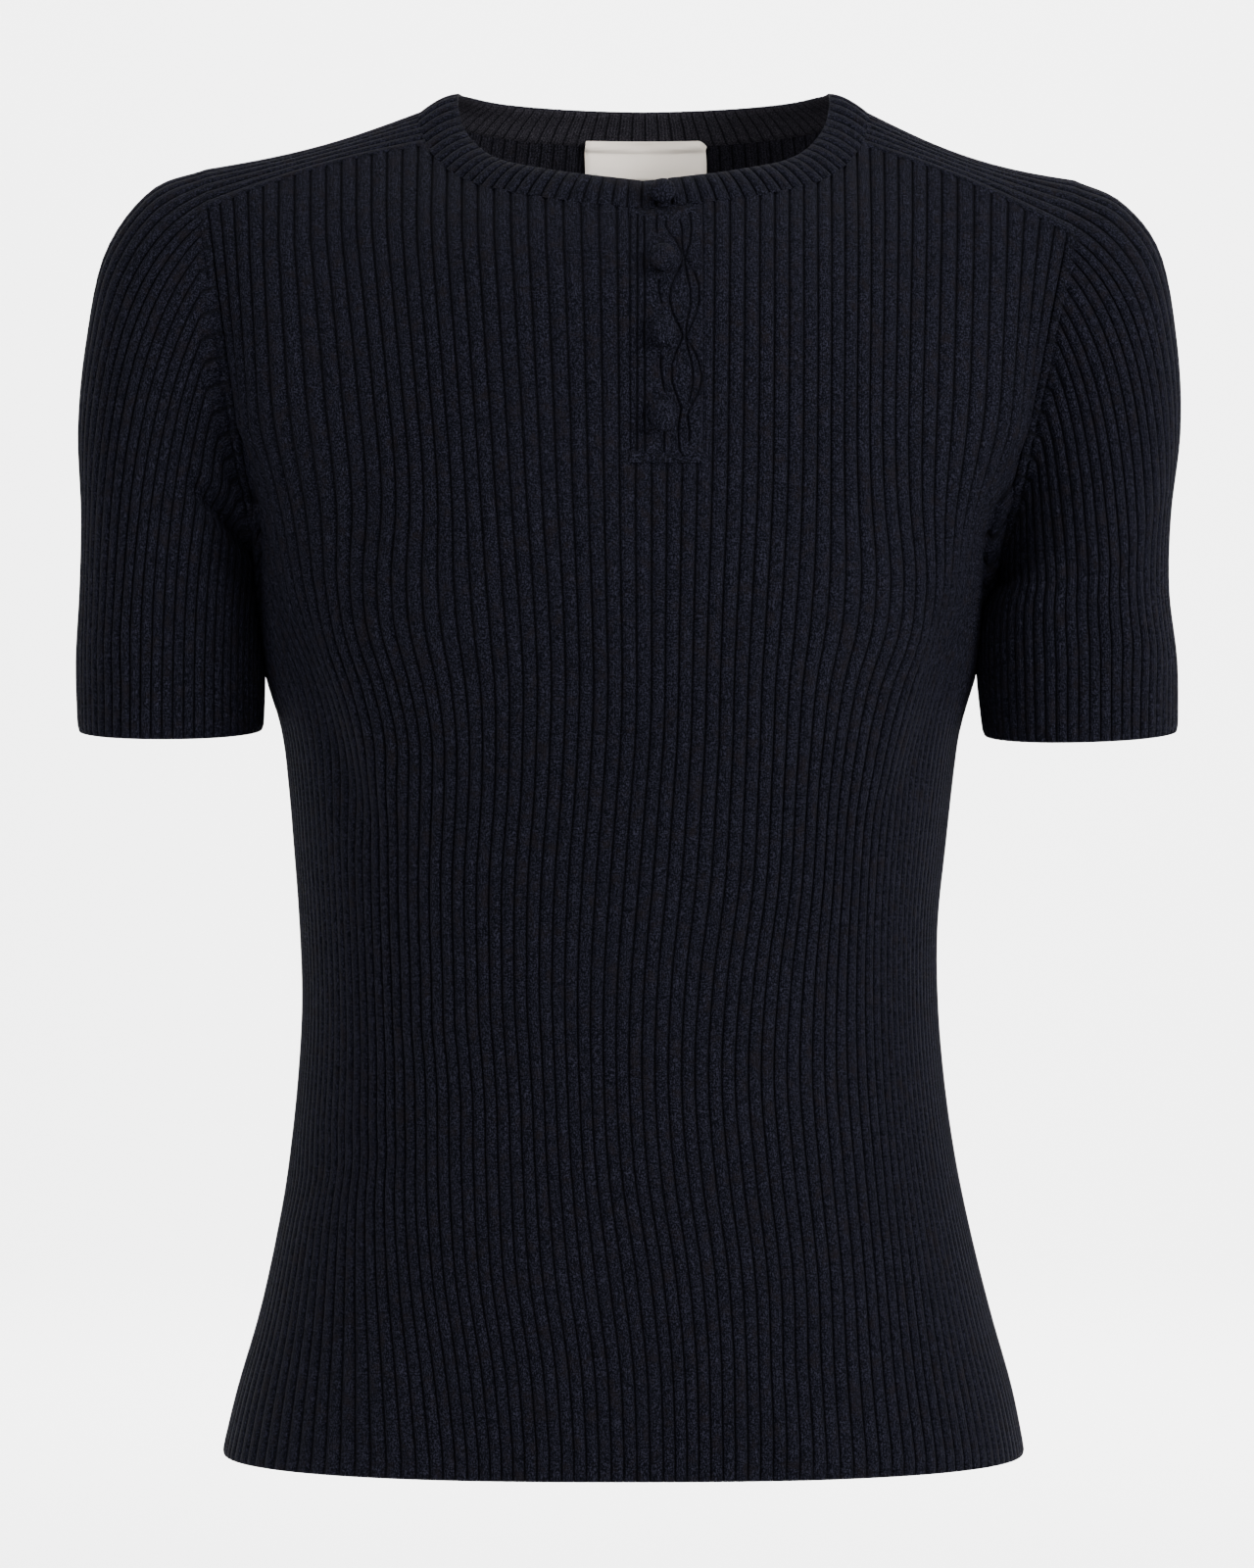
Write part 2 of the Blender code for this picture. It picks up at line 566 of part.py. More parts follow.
def front_point(z, wale):
    """The front's plain surface at a height on a wale, yoke or trunk."""
    split = split_point(wale)
    if z < split[2]:
        row = (z - HEM_Z) / (SPLIT_Z - HEM_Z)
        return panel_point(row, wale)
    values = np.linspace(0.0, 1.0, 21)
    heights = [yoke_point(v, wale)[2] for v in values]
    return yoke_point(float(np.interp(z, heights, values)), wale)


def cable(z, share):
    """Rise of the placket's two crossing strands at a height and a share of its width."""
    phase = np.interp(-z, [-b for b in BUTTON_Z], range(len(BUTTON_Z)))
    apart = abs(math.sin(math.pi * phase))
    lines = [line + sway * apart for line, sway in zip(CABLE_LINES, CABLE_SWAY)]
    return CABLE_RISE * max(math.exp(-((share - line) / CABLE_WIDTH) ** 2) for line in lines)


def make_placket(name):
    """The cabled strip that lies on the front."""
    shares = np.linspace(0.0, 1.0, PLACKET_COLUMNS + 1)
    heights = np.linspace(*PLACKET_Z, PLACKET_ROWS + 1)
    low, high = PLACKET_WALES
    base = np.array([[front_point(z, low + (high - low) * s) for s in shares] for z in heights])
    normals = grid_normals(base, np.array([0.0, -1.0, 0.0]))
    rise = np.array([[cable(z, s) for s in shares] for z in heights])[..., None]
    under = RIB + SEAM + PLACKET_LIFT
    bm = bmesh.new()
    outer = rows_of(bm, base + normals * (under + WALL + rise))
    inner = rows_of(bm, base + normals * under)
    for rows in (outer, inner):
        for first, second in zip(rows, rows[1:]):
            strip(bm, first, second)
    for end in (0, -1):
        strip(bm, outer[end], inner[end])
        strip(bm, [row[end] for row in outer], [row[end] for row in inner])
    return finish(bm, name, knit(name))


def make_button(name, low, high, rise):
    """A domed button covered in the cloth, tilted with the surface between two of its points."""
    bm = bmesh.new()
    around, up = BUTTON_SEGMENTS
    bmesh.ops.create_uvsphere(bm, u_segments=around, v_segments=up, radius=1.0)
    for vert in bm.verts:
        x, y, z = vert.co
        vert.co = (x * BUTTON_RADII[0], -z * BUTTON_RADII[1], y * BUTTON_RADII[2])
    obj = finish(bm, name, knit(name))
    slope = high - low
    tilt = math.atan2(-slope[1], slope[2])
    lift = rise + BUTTON_RADII[1]
    middle = (low + high) / 2
    obj.location = (BUTTON_X, middle[1] - lift * math.cos(tilt), middle[2] - lift * math.sin(tilt))
    obj.rotation_euler = (tilt, 0.0, 0.0)
    return obj


def make_label(name):
    """The folded blank label inside the back neck, laid along the back's inner wall."""
    wales = np.linspace(-LABEL_HALF_WALES, LABEL_HALF_WALES, 9) + LABEL_SHIFT
    heights = np.linspace(*LABEL_HEIGHTS, LABEL_ROWS + 1)
    base = np.array([[yoke_point(v, w, back=True) for w in wales] for v in heights])
    normals = grid_normals(base, np.array([0.0, 1.0, 0.0]))
    bm = bmesh.new()
    outer = rows_of(bm, base - normals * (WALL + SEAM + LABEL_OUTER))
    inner = rows_of(bm, base - normals * (WALL + SEAM + LABEL_INNER))
    for grid in (outer, inner):
        for first, second in zip(grid, grid[1:]):
            strip(bm, first, second)
    for end in (0, -1):
        strip(bm, outer[end], inner[end])
        strip(bm, [row[end] for row in outer], [row[end] for row in inner])
    return finish(bm, name, make_material("label_cloth", COLOURS["label"], 0.7))


def make_buttons():
    """The top button on the neckband and the others on the placket."""
    band = RIB + BAND_BULGE + BUTTON_GAPS[0]
    ends = neck_point(BUTTON_ANGLE), neck_point(BUTTON_ANGLE, edge=True)
    make_button("button_1", *ends, band)
    low, high = PLACKET_WALES
    wale = low + (high - low) * CABLE_LINES[0]
    for index, z in enumerate(BUTTON_Z[1:], start=2):
        below, above = front_point(z - BUTTON_RADII[2], wale), front_point(z + BUTTON_RADII[2], wale)
        rise = RIB + WALL + CABLE_RISE + BUTTON_GAPS[index - 1] + PLACKET_LIFT
        make_button(f"button_{index}", below, above, rise)


def main():
    """Builds the sweater in an empty scene."""
    for obj in list(bpy.data.objects):
        bpy.data.objects.remove(obj)
    make_panel("front")
    make_panel("back", back=True)
    make_sleeve("sleeve_left", -1)
    make_sleeve("sleeve_right", 1)
    make_neckband("neckband")
    make_placket("placket")
    make_buttons()
    make_label("label")


main()
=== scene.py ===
"""Looks of a short-sleeved rib knit sweater with saddle shoulders and a buttoned cable placket.

Each knitted piece is a dense grid of cloth laid on the same form as its solid: columns follow
the wales (lines of ribs) and rows the courses. Ribs, cables and soft folds are moved points;
stitches and yarn are in the materials. Sizes are metres, the front faces -Y.
"""
from __future__ import annotations

import logging
import math
from dataclasses import dataclass, field
from enum import Enum
from typing import Sequence

import bmesh
import bpy
import numpy as np
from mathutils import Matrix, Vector

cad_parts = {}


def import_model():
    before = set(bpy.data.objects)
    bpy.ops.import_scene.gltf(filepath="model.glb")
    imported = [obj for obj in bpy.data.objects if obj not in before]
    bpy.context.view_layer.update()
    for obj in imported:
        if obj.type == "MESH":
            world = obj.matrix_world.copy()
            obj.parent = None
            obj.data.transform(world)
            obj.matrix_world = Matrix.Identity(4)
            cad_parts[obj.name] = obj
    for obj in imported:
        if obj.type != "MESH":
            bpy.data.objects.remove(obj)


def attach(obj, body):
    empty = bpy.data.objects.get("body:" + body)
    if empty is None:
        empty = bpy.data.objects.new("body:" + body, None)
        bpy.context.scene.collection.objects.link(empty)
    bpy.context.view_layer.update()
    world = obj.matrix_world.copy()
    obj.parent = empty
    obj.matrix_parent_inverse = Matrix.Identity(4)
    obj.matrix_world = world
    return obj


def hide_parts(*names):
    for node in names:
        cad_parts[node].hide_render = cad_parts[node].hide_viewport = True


LOG = logging.getLogger("sweater")
Array = np.ndarray
Colour = tuple[float, float, float, float]


class Side(Enum):
    """The viewer's left or right of the garment."""

    LEFT = -1
    RIGHT = 1


class Face(Enum):
    """The garment's front or back half."""

    FRONT = -1
    BACK = 1


@dataclass(frozen=True)
class Table:
    """Rows of named columns, read between its rows through a smooth curve.

    The first column is the one that a row is looked up by.
    """

    rows: tuple[tuple[float, ...], ...]

    def at(self, where: float | Array) -> Array:
        """Reads every column at one or more values of the first one.

        Args:
            where: Values of the first column.

        Returns:
            One row of columns for each value.
        """
        values = np.array(sorted(self.rows), float)
        knots = values[:, 0]
        slopes = np.gradient(values, knots, axis=0)
        where = np.clip(np.atleast_1d(np.asarray(where, float)), knots[0], knots[-1])
        low = np.clip(np.searchsorted(knots, where) - 1, 0, len(knots) - 2)
        step = (knots[low + 1] - knots[low])[:, None]
        t = (where - knots[low])[:, None] / step
        return ((1 + 2 * t) * (1 - t) ** 2 * values[low] + t * (1 - t) ** 2 * step * slopes[low]
                + t * t * (3 - 2 * t) * values[low + 1]
                + t * t * (t - 1) * step * slopes[low + 1])


def unit(vectors: Array) -> Array:
    """The vectors at length 1."""
    return vectors / np.maximum(np.linalg.norm(vectors, axis=-1, keepdims=True), 1e-12)


def smooth(t: Array | float) -> Array | float:
    """A soft step from 0 at 0 to 1 at 1."""
    t = np.clip(t, 0.0, 1.0)
    return t * t * (3 - 2 * t)


def grid_normals(points: Array, outward: Array) -> Array:
    """Unit normals of a grid of points.

    Args:
        points: Rows by columns by 3.
        outward: A direction, or one for each point, on the side that the normals take.

    Returns:
        Normals with the grid's shape.
    """
    normals = unit(np.cross(np.gradient(points, axis=1), np.gradient(points, axis=0)))
    return -normals if (normals * outward).sum() < 0 else normals


@dataclass(frozen=True)
class Cut:
    """The garment's counts, and its seams' heights in metres.

    A form column is a rib of the solids. The visible ribs are finer than these columns.
    """

    hem_z: float = -0.578
    split_z: float = -0.138
    underarm_z: float = -0.200
    side_y: float = 0.008
    body_columns: int = 64
    body_ribs: int = 84
    armhole_ribs: int = 4
    sleeve_ribs: int = 60
    strap_ribs: int = 14
    neck_ribs: int = 96
    armhole_square: float = 2.15

    @property
    def half(self) -> float:
        """Form columns from the middle wale to a side seam."""
        return self.body_columns / 2

    @property
    def rib_half(self) -> float:
        """Visible ribs from the middle wale to a side seam."""
        return self.body_ribs / 2

    @property
    def yoke(self) -> float:
        """Form columns, and ribs, from the middle wale to the armhole above the split."""
        return self.half - self.armhole_ribs


CUT = Cut()

TRUNK = Table((
    # z,      left,    right,  front,   back,   middle,  square
    (-0.578, -0.1815, 0.1640, 0.1170, 0.1120, 0.0085, 2.50),
    (-0.5525, -0.1754, 0.1590, 0.1160, 0.1110, 0.0085, 2.45),
    (-0.5185, -0.1655, 0.1495, 0.1130, 0.1080, 0.0055, 2.40),
    (-0.4845, -0.1580, 0.1410, 0.1090, 0.1020, 0.0005, 2.35),
    (-0.4505, -0.1525, 0.1340, 0.1060, 0.0960, -0.0045, 2.30),
    (-0.4165, -0.1488, 0.1292, 0.1040, 0.0910, -0.0065, 2.30),
    (-0.3825, -0.1470, 0.1265, 0.1030, 0.0880, -0.0060, 2.30),
    (-0.3485, -0.1482, 0.1265, 0.1030, 0.0880, -0.0045, 2.30),
    (-0.3145, -0.1507, 0.1300, 0.1050, 0.0900, -0.0010, 2.30),
    (-0.2890, -0.1529, 0.1328, 0.1080, 0.0930, 0.0025, 2.30),
    (-0.2635, -0.1562, 0.1364, 0.1130, 0.0970, 0.0030, 2.30),
    (-0.2380, -0.1638, 0.1438, 0.1170, 0.1010, 0.0030, 2.30),
    (-0.2100, -0.1653, 0.1462, 0.1190, 0.1040, 0.0030, 2.30),
    (-0.1800, -0.1625, 0.1470, 0.1180, 0.1060, 0.0035, 2.35),
    (-0.1500, -0.1660, 0.1600, 0.1120, 0.1060, 0.0045, 2.45),
    (-0.1380, -0.1700, 0.1640, 0.1090, 0.1060, 0.0050, 2.50),
))

SLEEVES = {
    Side.LEFT: Table((
        # at, in x,    in z,    out x,   out z,   front,  back,   mid y
        (0.0, -0.1656, -0.2655, -0.2432, -0.2655, 0.0460, 0.0470, -0.008),
        (1.0, -0.1650, -0.2400, -0.2440, -0.2360, 0.0465, 0.0475, -0.008),
        (2.0, -0.1665, -0.2180, -0.2425, -0.2050, 0.0470, 0.0485, -0.007),
        (3.0, -0.1672, -0.2085, -0.2420, -0.1720, 0.0480, 0.0500, -0.005),
        (4.0, -0.1672, -0.2060, -0.2436, -0.1350, 0.0490, 0.0520, -0.002),
        (5.0, -0.1668, -0.2045, -0.2405, -0.0980, 0.0500, 0.0535, 0.001),
        (6.0, -0.1662, -0.2030, -0.2325, -0.0590, 0.0505, 0.0545, 0.004),
        (7.0, -0.1652, -0.2018, -0.2135, -0.0325, 0.0505, 0.0545, 0.006),
        (8.0, -0.1630, -0.2000, -0.1900, -0.0230, 0.0500, 0.0540, 0.008),
    )),
    Side.RIGHT: Table((
        (0.0, 0.1480, -0.2680, 0.2296, -0.2655, 0.0460, 0.0470, -0.008),
        (1.0, 0.1452, -0.2400, 0.2292, -0.2360, 0.0465, 0.0475, -0.008),
        (2.0, 0.1458, -0.2180, 0.2258, -0.2050, 0.0470, 0.0485, -0.007),
        (3.0, 0.1492, -0.2085, 0.2268, -0.1720, 0.0480, 0.0500, -0.005),
        (4.0, 0.1524, -0.2060, 0.2312, -0.1350, 0.0490, 0.0520, -0.002),
        (5.0, 0.1528, -0.2045, 0.2300, -0.0980, 0.0500, 0.0535, 0.001),
        (6.0, 0.1526, -0.2030, 0.2230, -0.0590, 0.0505, 0.0545, 0.004),
        (7.0, 0.1520, -0.2018, 0.2070, -0.0375, 0.0505, 0.0545, 0.006),
        (8.0, 0.1500, -0.2000, 0.1870, -0.0275, 0.0500, 0.0540, 0.008),
    )),
}

# The sleeves' section that is sewn to the armhole
ARMHOLE_ROW = 8.0

# Where five wales of the front run, seen from straight ahead: height and x from the middle
TRACKED_WALES = (-20, -10, 0, 10, 20)
TRACKS = Table((
    # height, -20,     -10,     0,      10,     20
    (0.2380, -0.1305, -0.0646, 0.0106, 0.0765, 0.1364),
    (0.1700, -0.1237, -0.0599, 0.0106, 0.0765, 0.1347),
    (0.1190, -0.1190, -0.0565, 0.0106, 0.0757, 0.1330),
    (0.0850, -0.1200, -0.0540, 0.0106, 0.0740, 0.1336),
    (0.0680, -0.1180, -0.0527, 0.0106, 0.0727, 0.1314),
    (0.0425, -0.1097, -0.0510, 0.0106, 0.0701, 0.1220),
    (0.0170, -0.1038, -0.0510, 0.0098, 0.0689, 0.1152),
    (0.0000, -0.1033, -0.0514, 0.0085, 0.0680, 0.1118),
    (-0.0425, -0.1033, -0.0542, 0.0051, 0.0658, 0.1077),
    (-0.0850, -0.1020, -0.0540, 0.0017, 0.0604, 0.1065),
    (-0.1275, -0.1005, -0.0519, 0.0009, 0.0580, 0.1077),
    (-0.1700, -0.1010, -0.0502, 0.0034, 0.0614, 0.1114),
    (-0.2125, -0.0990, -0.0480, 0.0098, 0.0664, 0.1160),
    (-0.2550, -0.0945, -0.0418, 0.0145, 0.0680, 0.1205),
    (-0.2890, -0.0914, -0.0391, 0.0157, 0.0689, 0.1250),
))

NECK = Table((
    # angle, seam z,  edge z
    (0.0, -0.0480, -0.0345),
    (30.0, -0.0410, -0.0285),
    (55.0, -0.0305, -0.0200),
    (75.0, -0.0140, -0.0050),
    (90.0, 0.0000, 0.0095),
    (105.0, 0.0030, 0.0112),
    (130.0, -0.0010, 0.0108),
    (180.0, -0.0050, 0.0100),
))


class NeckForm:
    """The neck's seam and its free edge, by the angle from the front's middle."""

    seam_size = (0.0970, 0.0790)
    edge_size = (0.0808, 0.0680)

    def points(self, degrees: float | Array, edge: bool = False) -> Array:
        """Points of the neck.

        Args:
            degrees: Angles from the front's middle, growing to the viewer's right.
            edge: True for the free edge, False for the seam.

        Returns:
            One point for each angle.
        """
        degrees = np.atleast_1d(np.asarray(degrees, float))
        size_x, size_y = self.edge_size if edge else self.seam_size
        folded = np.abs((degrees + 180.0) % 360.0 - 180.0)
        z = NECK.at(folded)[:, 2 if edge else 1]
        angle = np.radians(degrees)
        return np.stack([size_x * np.sin(angle), -size_y * np.cos(angle), z], axis=-1)


class ShoulderForm:
    """An armhole's seam and the strap that runs from it over the shoulder to the neck."""

    corner_angles = {Side.LEFT: (140.0, 140.0), Side.RIGHT: (133.0, 140.0)}
    neck_angles = (74.0, 122.0)
    ridge_neck_angle = 96.0
    edge_rise = 0.0035
    ridge_sag = {Side.LEFT: 0.0030, Side.RIGHT: 0.0050}

    def __init__(self, side: Side, neck: NeckForm) -> None:
        """Keeps the side and the neck that the strap ends at.

        Args:
            side: The garment's side.
            neck: The neck's form.
        """
        self.side = side
        self.neck = neck
        self.end_row = SLEEVES[side].at(ARMHOLE_ROW)[0]

    @staticmethod
    def ring(row: Array, angles: Array) -> Array:
        """Points of one section of a sleeve.

        Args:
            row: The section's row of the sleeve's table.
            angles: Angles in radians from the section's inner edge, through its front.

        Returns:
            One point for each angle.
        """
        _, in_x, in_z, out_x, out_z, front, back, mid_y = row
        power = 2.0 / CUT.armhole_square
        across = -np.sign(np.cos(angles)) * np.abs(np.cos(angles)) ** power
        deep = -np.sign(np.sin(angles)) * np.abs(np.sin(angles)) ** power
        return np.stack([
            (in_x + out_x) / 2 + across * (out_x - in_x) / 2,
            mid_y + deep * np.where(deep < 0, front, back),
            (in_z + out_z) / 2 + across * (out_z - in_z) / 2], axis=-1)

    def armhole(self, degrees: float | Array, face: Face = Face.FRONT) -> Array:
        """Points of the armhole's seam at angles from its bottom, up one face.

        Args:
            degrees: Angles from the armhole's bottom.
            face: The face to go up.

        Returns:
            One point for each angle.
        """
        degrees = np.atleast_1d(np.asarray(degrees, float))
        turned = 360.0 - degrees if face is Face.BACK else degrees
        return self.ring(self.end_row, np.radians(turned))

    def corner(self, face: Face) -> float:
        """The armhole's angle where the strap's seam on one face starts."""
        return self.corner_angles[self.side][0 if face is Face.FRONT else 1]

    def edge(self, along: float | Array, face: Face) -> Array:
        """Points of the strap's seam on one face: 0 at the armhole and 1 at the neck.

        Args:
            along: Places along the seam.
            face: The face that the seam is on.

        Returns:
            One point for each place.
        """
        along = np.atleast_1d(np.asarray(along, float))[:, None]
        start = self.armhole(self.corner(face), face)
        at_neck = self.neck_angles[0 if face is Face.FRONT else 1]
        end = self.neck.points(self.side.value * at_neck)
        points = start + (end - start) * along
        points[:, 2] += self.edge_rise * np.sin(math.pi * along[:, 0])
        return points

    def ridge(self, along: float | Array) -> Array:
        """Points of the strap's top line: 0 at the armhole and 1 at the neck.

        Args:
            along: Places along the line.

        Returns:
            One point for each place.
        """
        along = np.atleast_1d(np.asarray(along, float))[:, None]
        start = self.armhole(180.0)
        end = self.neck.points(self.side.value * self.ridge_neck_angle)
        points = start + (end - start) * along
        points[:, 2] -= self.ridge_sag[self.side] * np.sin(math.pi * along[:, 0])
        return points

    def strap(self, along: Array, across: Array) -> Array:
        """A grid of the strap's points.

        Args:
            along: Places from the armhole, 0, to the neck, 1.
            across: Places from the front seam, 0, to the back seam, 1.

        Returns:
            Rows along by columns across by 3.
        """
        front, back = self.edge(along, Face.FRONT), self.edge(along, Face.BACK)
        ridge, middle = self.ridge(along), (front + back) / 2
        share = 1.0 - np.abs(2.0 * across - 1.0)
        start = np.where((across < 0.5)[None, :, None], front[:, None], back[:, None])
        return (start + (middle[:, None] - start) * share[None, :, None]
                + (ridge - middle)[:, None] * np.sin(math.pi / 2 * share)[None, :, None])


def spline(count: int, at: Array) -> Array:
    """Weights that read a smooth curve through evenly spaced points.

    Args:
        count: Number of points.
        at: Places to read, from 0 to count - 1.

    Returns:
        A matrix with a row for each place and a column for each point.
    """
    weights = np.zeros((len(at), count + 2))
    low = np.clip(np.floor(at).astype(int), 0, count - 2)
    t = at - low
    parts = (-0.5 * t + t ** 2 - 0.5 * t ** 3, 1 - 2.5 * t ** 2 + 1.5 * t ** 3,
             0.5 * t + 2 * t ** 2 - 1.5 * t ** 3, -0.5 * t ** 2 + 0.5 * t ** 3)
    for step, part in enumerate(parts):
        np.add.at(weights, (np.arange(len(at)), low + step), part)
    weights[:, 1] += 2 * weights[:, 0]
    weights[:, 2] -= weights[:, 0]
    weights[:, -2] += 2 * weights[:, -1]
    weights[:, -3] -= weights[:, -1]
    return weights[:, 1:-1]


def refine(points: Array, rows: Array, columns: Array) -> Array:
    """A grid of points read more densely through a smooth surface.

    Args:
        points: Rows by columns by 3.
        rows: Row places to read.
        columns: Column places to read.

    Returns:
        The dense grid.
    """
    across = np.einsum("cj,rjk->rck", spline(points.shape[1], columns), points)
    return np.einsum("ri,ick->rck", spline(points.shape[0], rows), across)


@dataclass(frozen=True)
class Rib:
    """The rib's section: flat-topped, with a narrow groove at each whole wale."""

    rise: float = 0.00135
    groove: float = 0.125
    shoulder: float = 0.86
    crown: float = 0.14
    steps: tuple[float, ...] = (0.0, 0.085, 0.19, 0.5, 0.81, 0.915)

    def columns(self, first: float, last: float) -> Array:
        """Places of the grid's columns, closer together at the grooves.

        Args:
            first: The first rib.
            last: The last one.

        Returns:
            The columns' places in ribs.
        """
        whole = np.arange(first, last)
        return np.append((whole[:, None] + np.array(self.steps)[None]).ravel(), last)

    def height(self, wales: Array) -> Array:
        """Rise of the cloth at places across the ribs.

        Args:
            wales: Places, whole at the grooves.

        Returns:
            One height for each place.
        """
        off = np.abs(wales - np.round(wales))
        crown = self.shoulder + self.crown * np.sin(math.pi * off)
        return self.rise * (1 - np.exp(-((off / self.groove) ** 2))) * crown


RIB = Rib()


class TrunkForm:
    """The trunk, hem to chest, as points by height and wale."""

    def __init__(self, face: Face) -> None:
        """Reads the trunk's sections on one face, a column for each wale.

        Args:
            face: The garment's front or back.
        """
        self.face = face
        self.heights = np.linspace(CUT.hem_z, CUT.split_z, 89)
        self.wales = np.arange(-CUT.half, CUT.half + 1)
        rows = [self._section(row) for row in TRUNK.at(self.heights)]
        self.x, self.y = (np.array(values) for values in zip(*rows))

    def _section(self, row: Array) -> tuple[Array, Array]:
        """One section's x and y on every wale.

        Args:
            row: The section's row of the trunk's table.

        Returns:
            The x of every wale, and the y.
        """
        _, left, right, front, rear, middle, square = row
        angle = np.linspace(0.0, math.pi, 361)
        x = -np.sign(np.cos(angle)) * np.abs(np.cos(angle)) ** (2.0 / square)
        x = (left + right) / 2 + x * (right - left) / 2
        back = self.face is Face.BACK
        depth = rear - CUT.side_y if back else front + CUT.side_y
        y = CUT.side_y + self.face.value * depth * np.sin(angle) ** (2.0 / square)
        length = np.concatenate([[0.0], np.cumsum(np.hypot(np.diff(x), np.diff(y)))])
        centre = np.interp((left + right) / 2 if back else middle, x, length)
        at = np.interp(self.wales, (-CUT.half, 0.0, CUT.half), (0.0, centre, length[-1]))
        return np.interp(at, length, x), np.interp(at, length, y)

    def points(self, z: Array, wales: Array) -> Array:
        """Points of the trunk.

        Args:
            z: Heights, rows by columns.
            wales: The columns' whole wales.

        Returns:
            Rows by columns by 3.
        """
        z = np.broadcast_to(z, (z.shape[0], len(wales)))
        result = np.empty(z.shape + (3,))
        result[..., 2] = z
        for j, wale in enumerate(wales):
            own = int(wale + CUT.half)
            result[:, j, 0] = np.interp(z[:, j], self.heights, self.x[:, own])
            result[:, j, 1] = np.interp(z[:, j], self.heights, self.y[:, own])
        return result


@dataclass(frozen=True)
class View:
    """The level camera straight ahead, which the stage and the wales' tracks share."""

    distance: float = 2.55
    x: float = -0.0072
    z: float = -0.289
    frame_height: float = 0.68

    def flat(self, points: Array) -> tuple[Array, Array]:
        """Where points are seen, from the middle, in metres on the plane through the origin.

        Args:
            points: Points of the garment.

        Returns:
            How far across each is seen, and how high.
        """
        scale = self.distance / (self.distance + points[..., 1])
        return (points[..., 0] - self.x) * scale, (points[..., 2] - self.z) * scale


VIEW = View()


class WaleMap:
    """Where a panel's visible wales run over the columns of its form, row by row.

    The visible ribs are finer than the form's columns. They stay on the armhole above the split
    and spread evenly to the side seam below it.
    """

    spread = 0.12
    # The back's wales wander by this many columns, over this angle for each wale and at the split
    drift = 0.35
    drift_wave = 0.21
    drift_turn = 5.0
    tracked_side = 20.0

    def __init__(self, face: Face) -> None:
        """Keeps the panel's face: only the front's wales have tracks."""
        self.face = face

    def _even(self, low: float) -> list[float]:
        """The back's form columns under the tracked wales, where low is 1 below the armhole.

        Args:
            low: 0 above the split and 1 well below it.

        Returns:
            One form column for each.
        """
        scale = 1 + (CUT.half / CUT.rib_half - 1) * low
        return [wale * scale + self.drift * math.sin(self.drift_wave * wale
                                                     + self.drift_turn * low)
                for wale in TRACKED_WALES]

    def _tracked(self, row: Array, columns: Array) -> Array:
        """The front's form columns under the tracked wales.

        Args:
            row: One row of the form's points.
            columns: The form's columns.

        Returns:
            One form column for each.
        """
        inner = np.abs(columns) <= CUT.yoke
        across, height = VIEW.flat(row)
        at_track = [int(np.argmin(np.abs(columns - wale))) for wale in TRACKED_WALES]
        goals = [TRACKS.at(height[j])[0][1 + n] for n, j in enumerate(at_track)]
        return np.interp(goals, across[inner], columns[inner])

    def lay(self, points: Array, columns: Array, wales: Array) -> Array:
        """Reads the form's cloth on the visible wales.

        Args:
            points: The form's cloth, rows by columns by 3.
            columns: The form's columns.
            wales: The visible wales of the new columns.

        Returns:
            The same cloth on the new columns.
        """
        result = np.empty((len(points), len(wales), 3))
        middle = points.shape[1] // 2
        for i, row in enumerate(points):
            low = float(smooth((CUT.split_z - row[middle, 2]) / self.spread))
            front = self.face is Face.FRONT
            found = self._tracked(row, columns) if front else self._even(low)
            share = (CUT.yoke - self.tracked_side) / (CUT.rib_half - self.tracked_side)
            left = found[0] + (-CUT.half - found[0]) * share
            right = found[-1] + (CUT.half - found[-1]) * share
            knots = [(-CUT.rib_half, -CUT.half), (-CUT.yoke, left * low - CUT.yoke * (1 - low))]
            knots += list(zip(map(float, TRACKED_WALES), found))
            knots += [(CUT.yoke, right * low + CUT.yoke * (1 - low)), (CUT.rib_half, CUT.half)]
            source = Table(tuple(knots)).at(wales)[:, 1]
            for axis in range(3):
                result[i, :, axis] = np.interp(source, columns, row[:, axis])
        return result


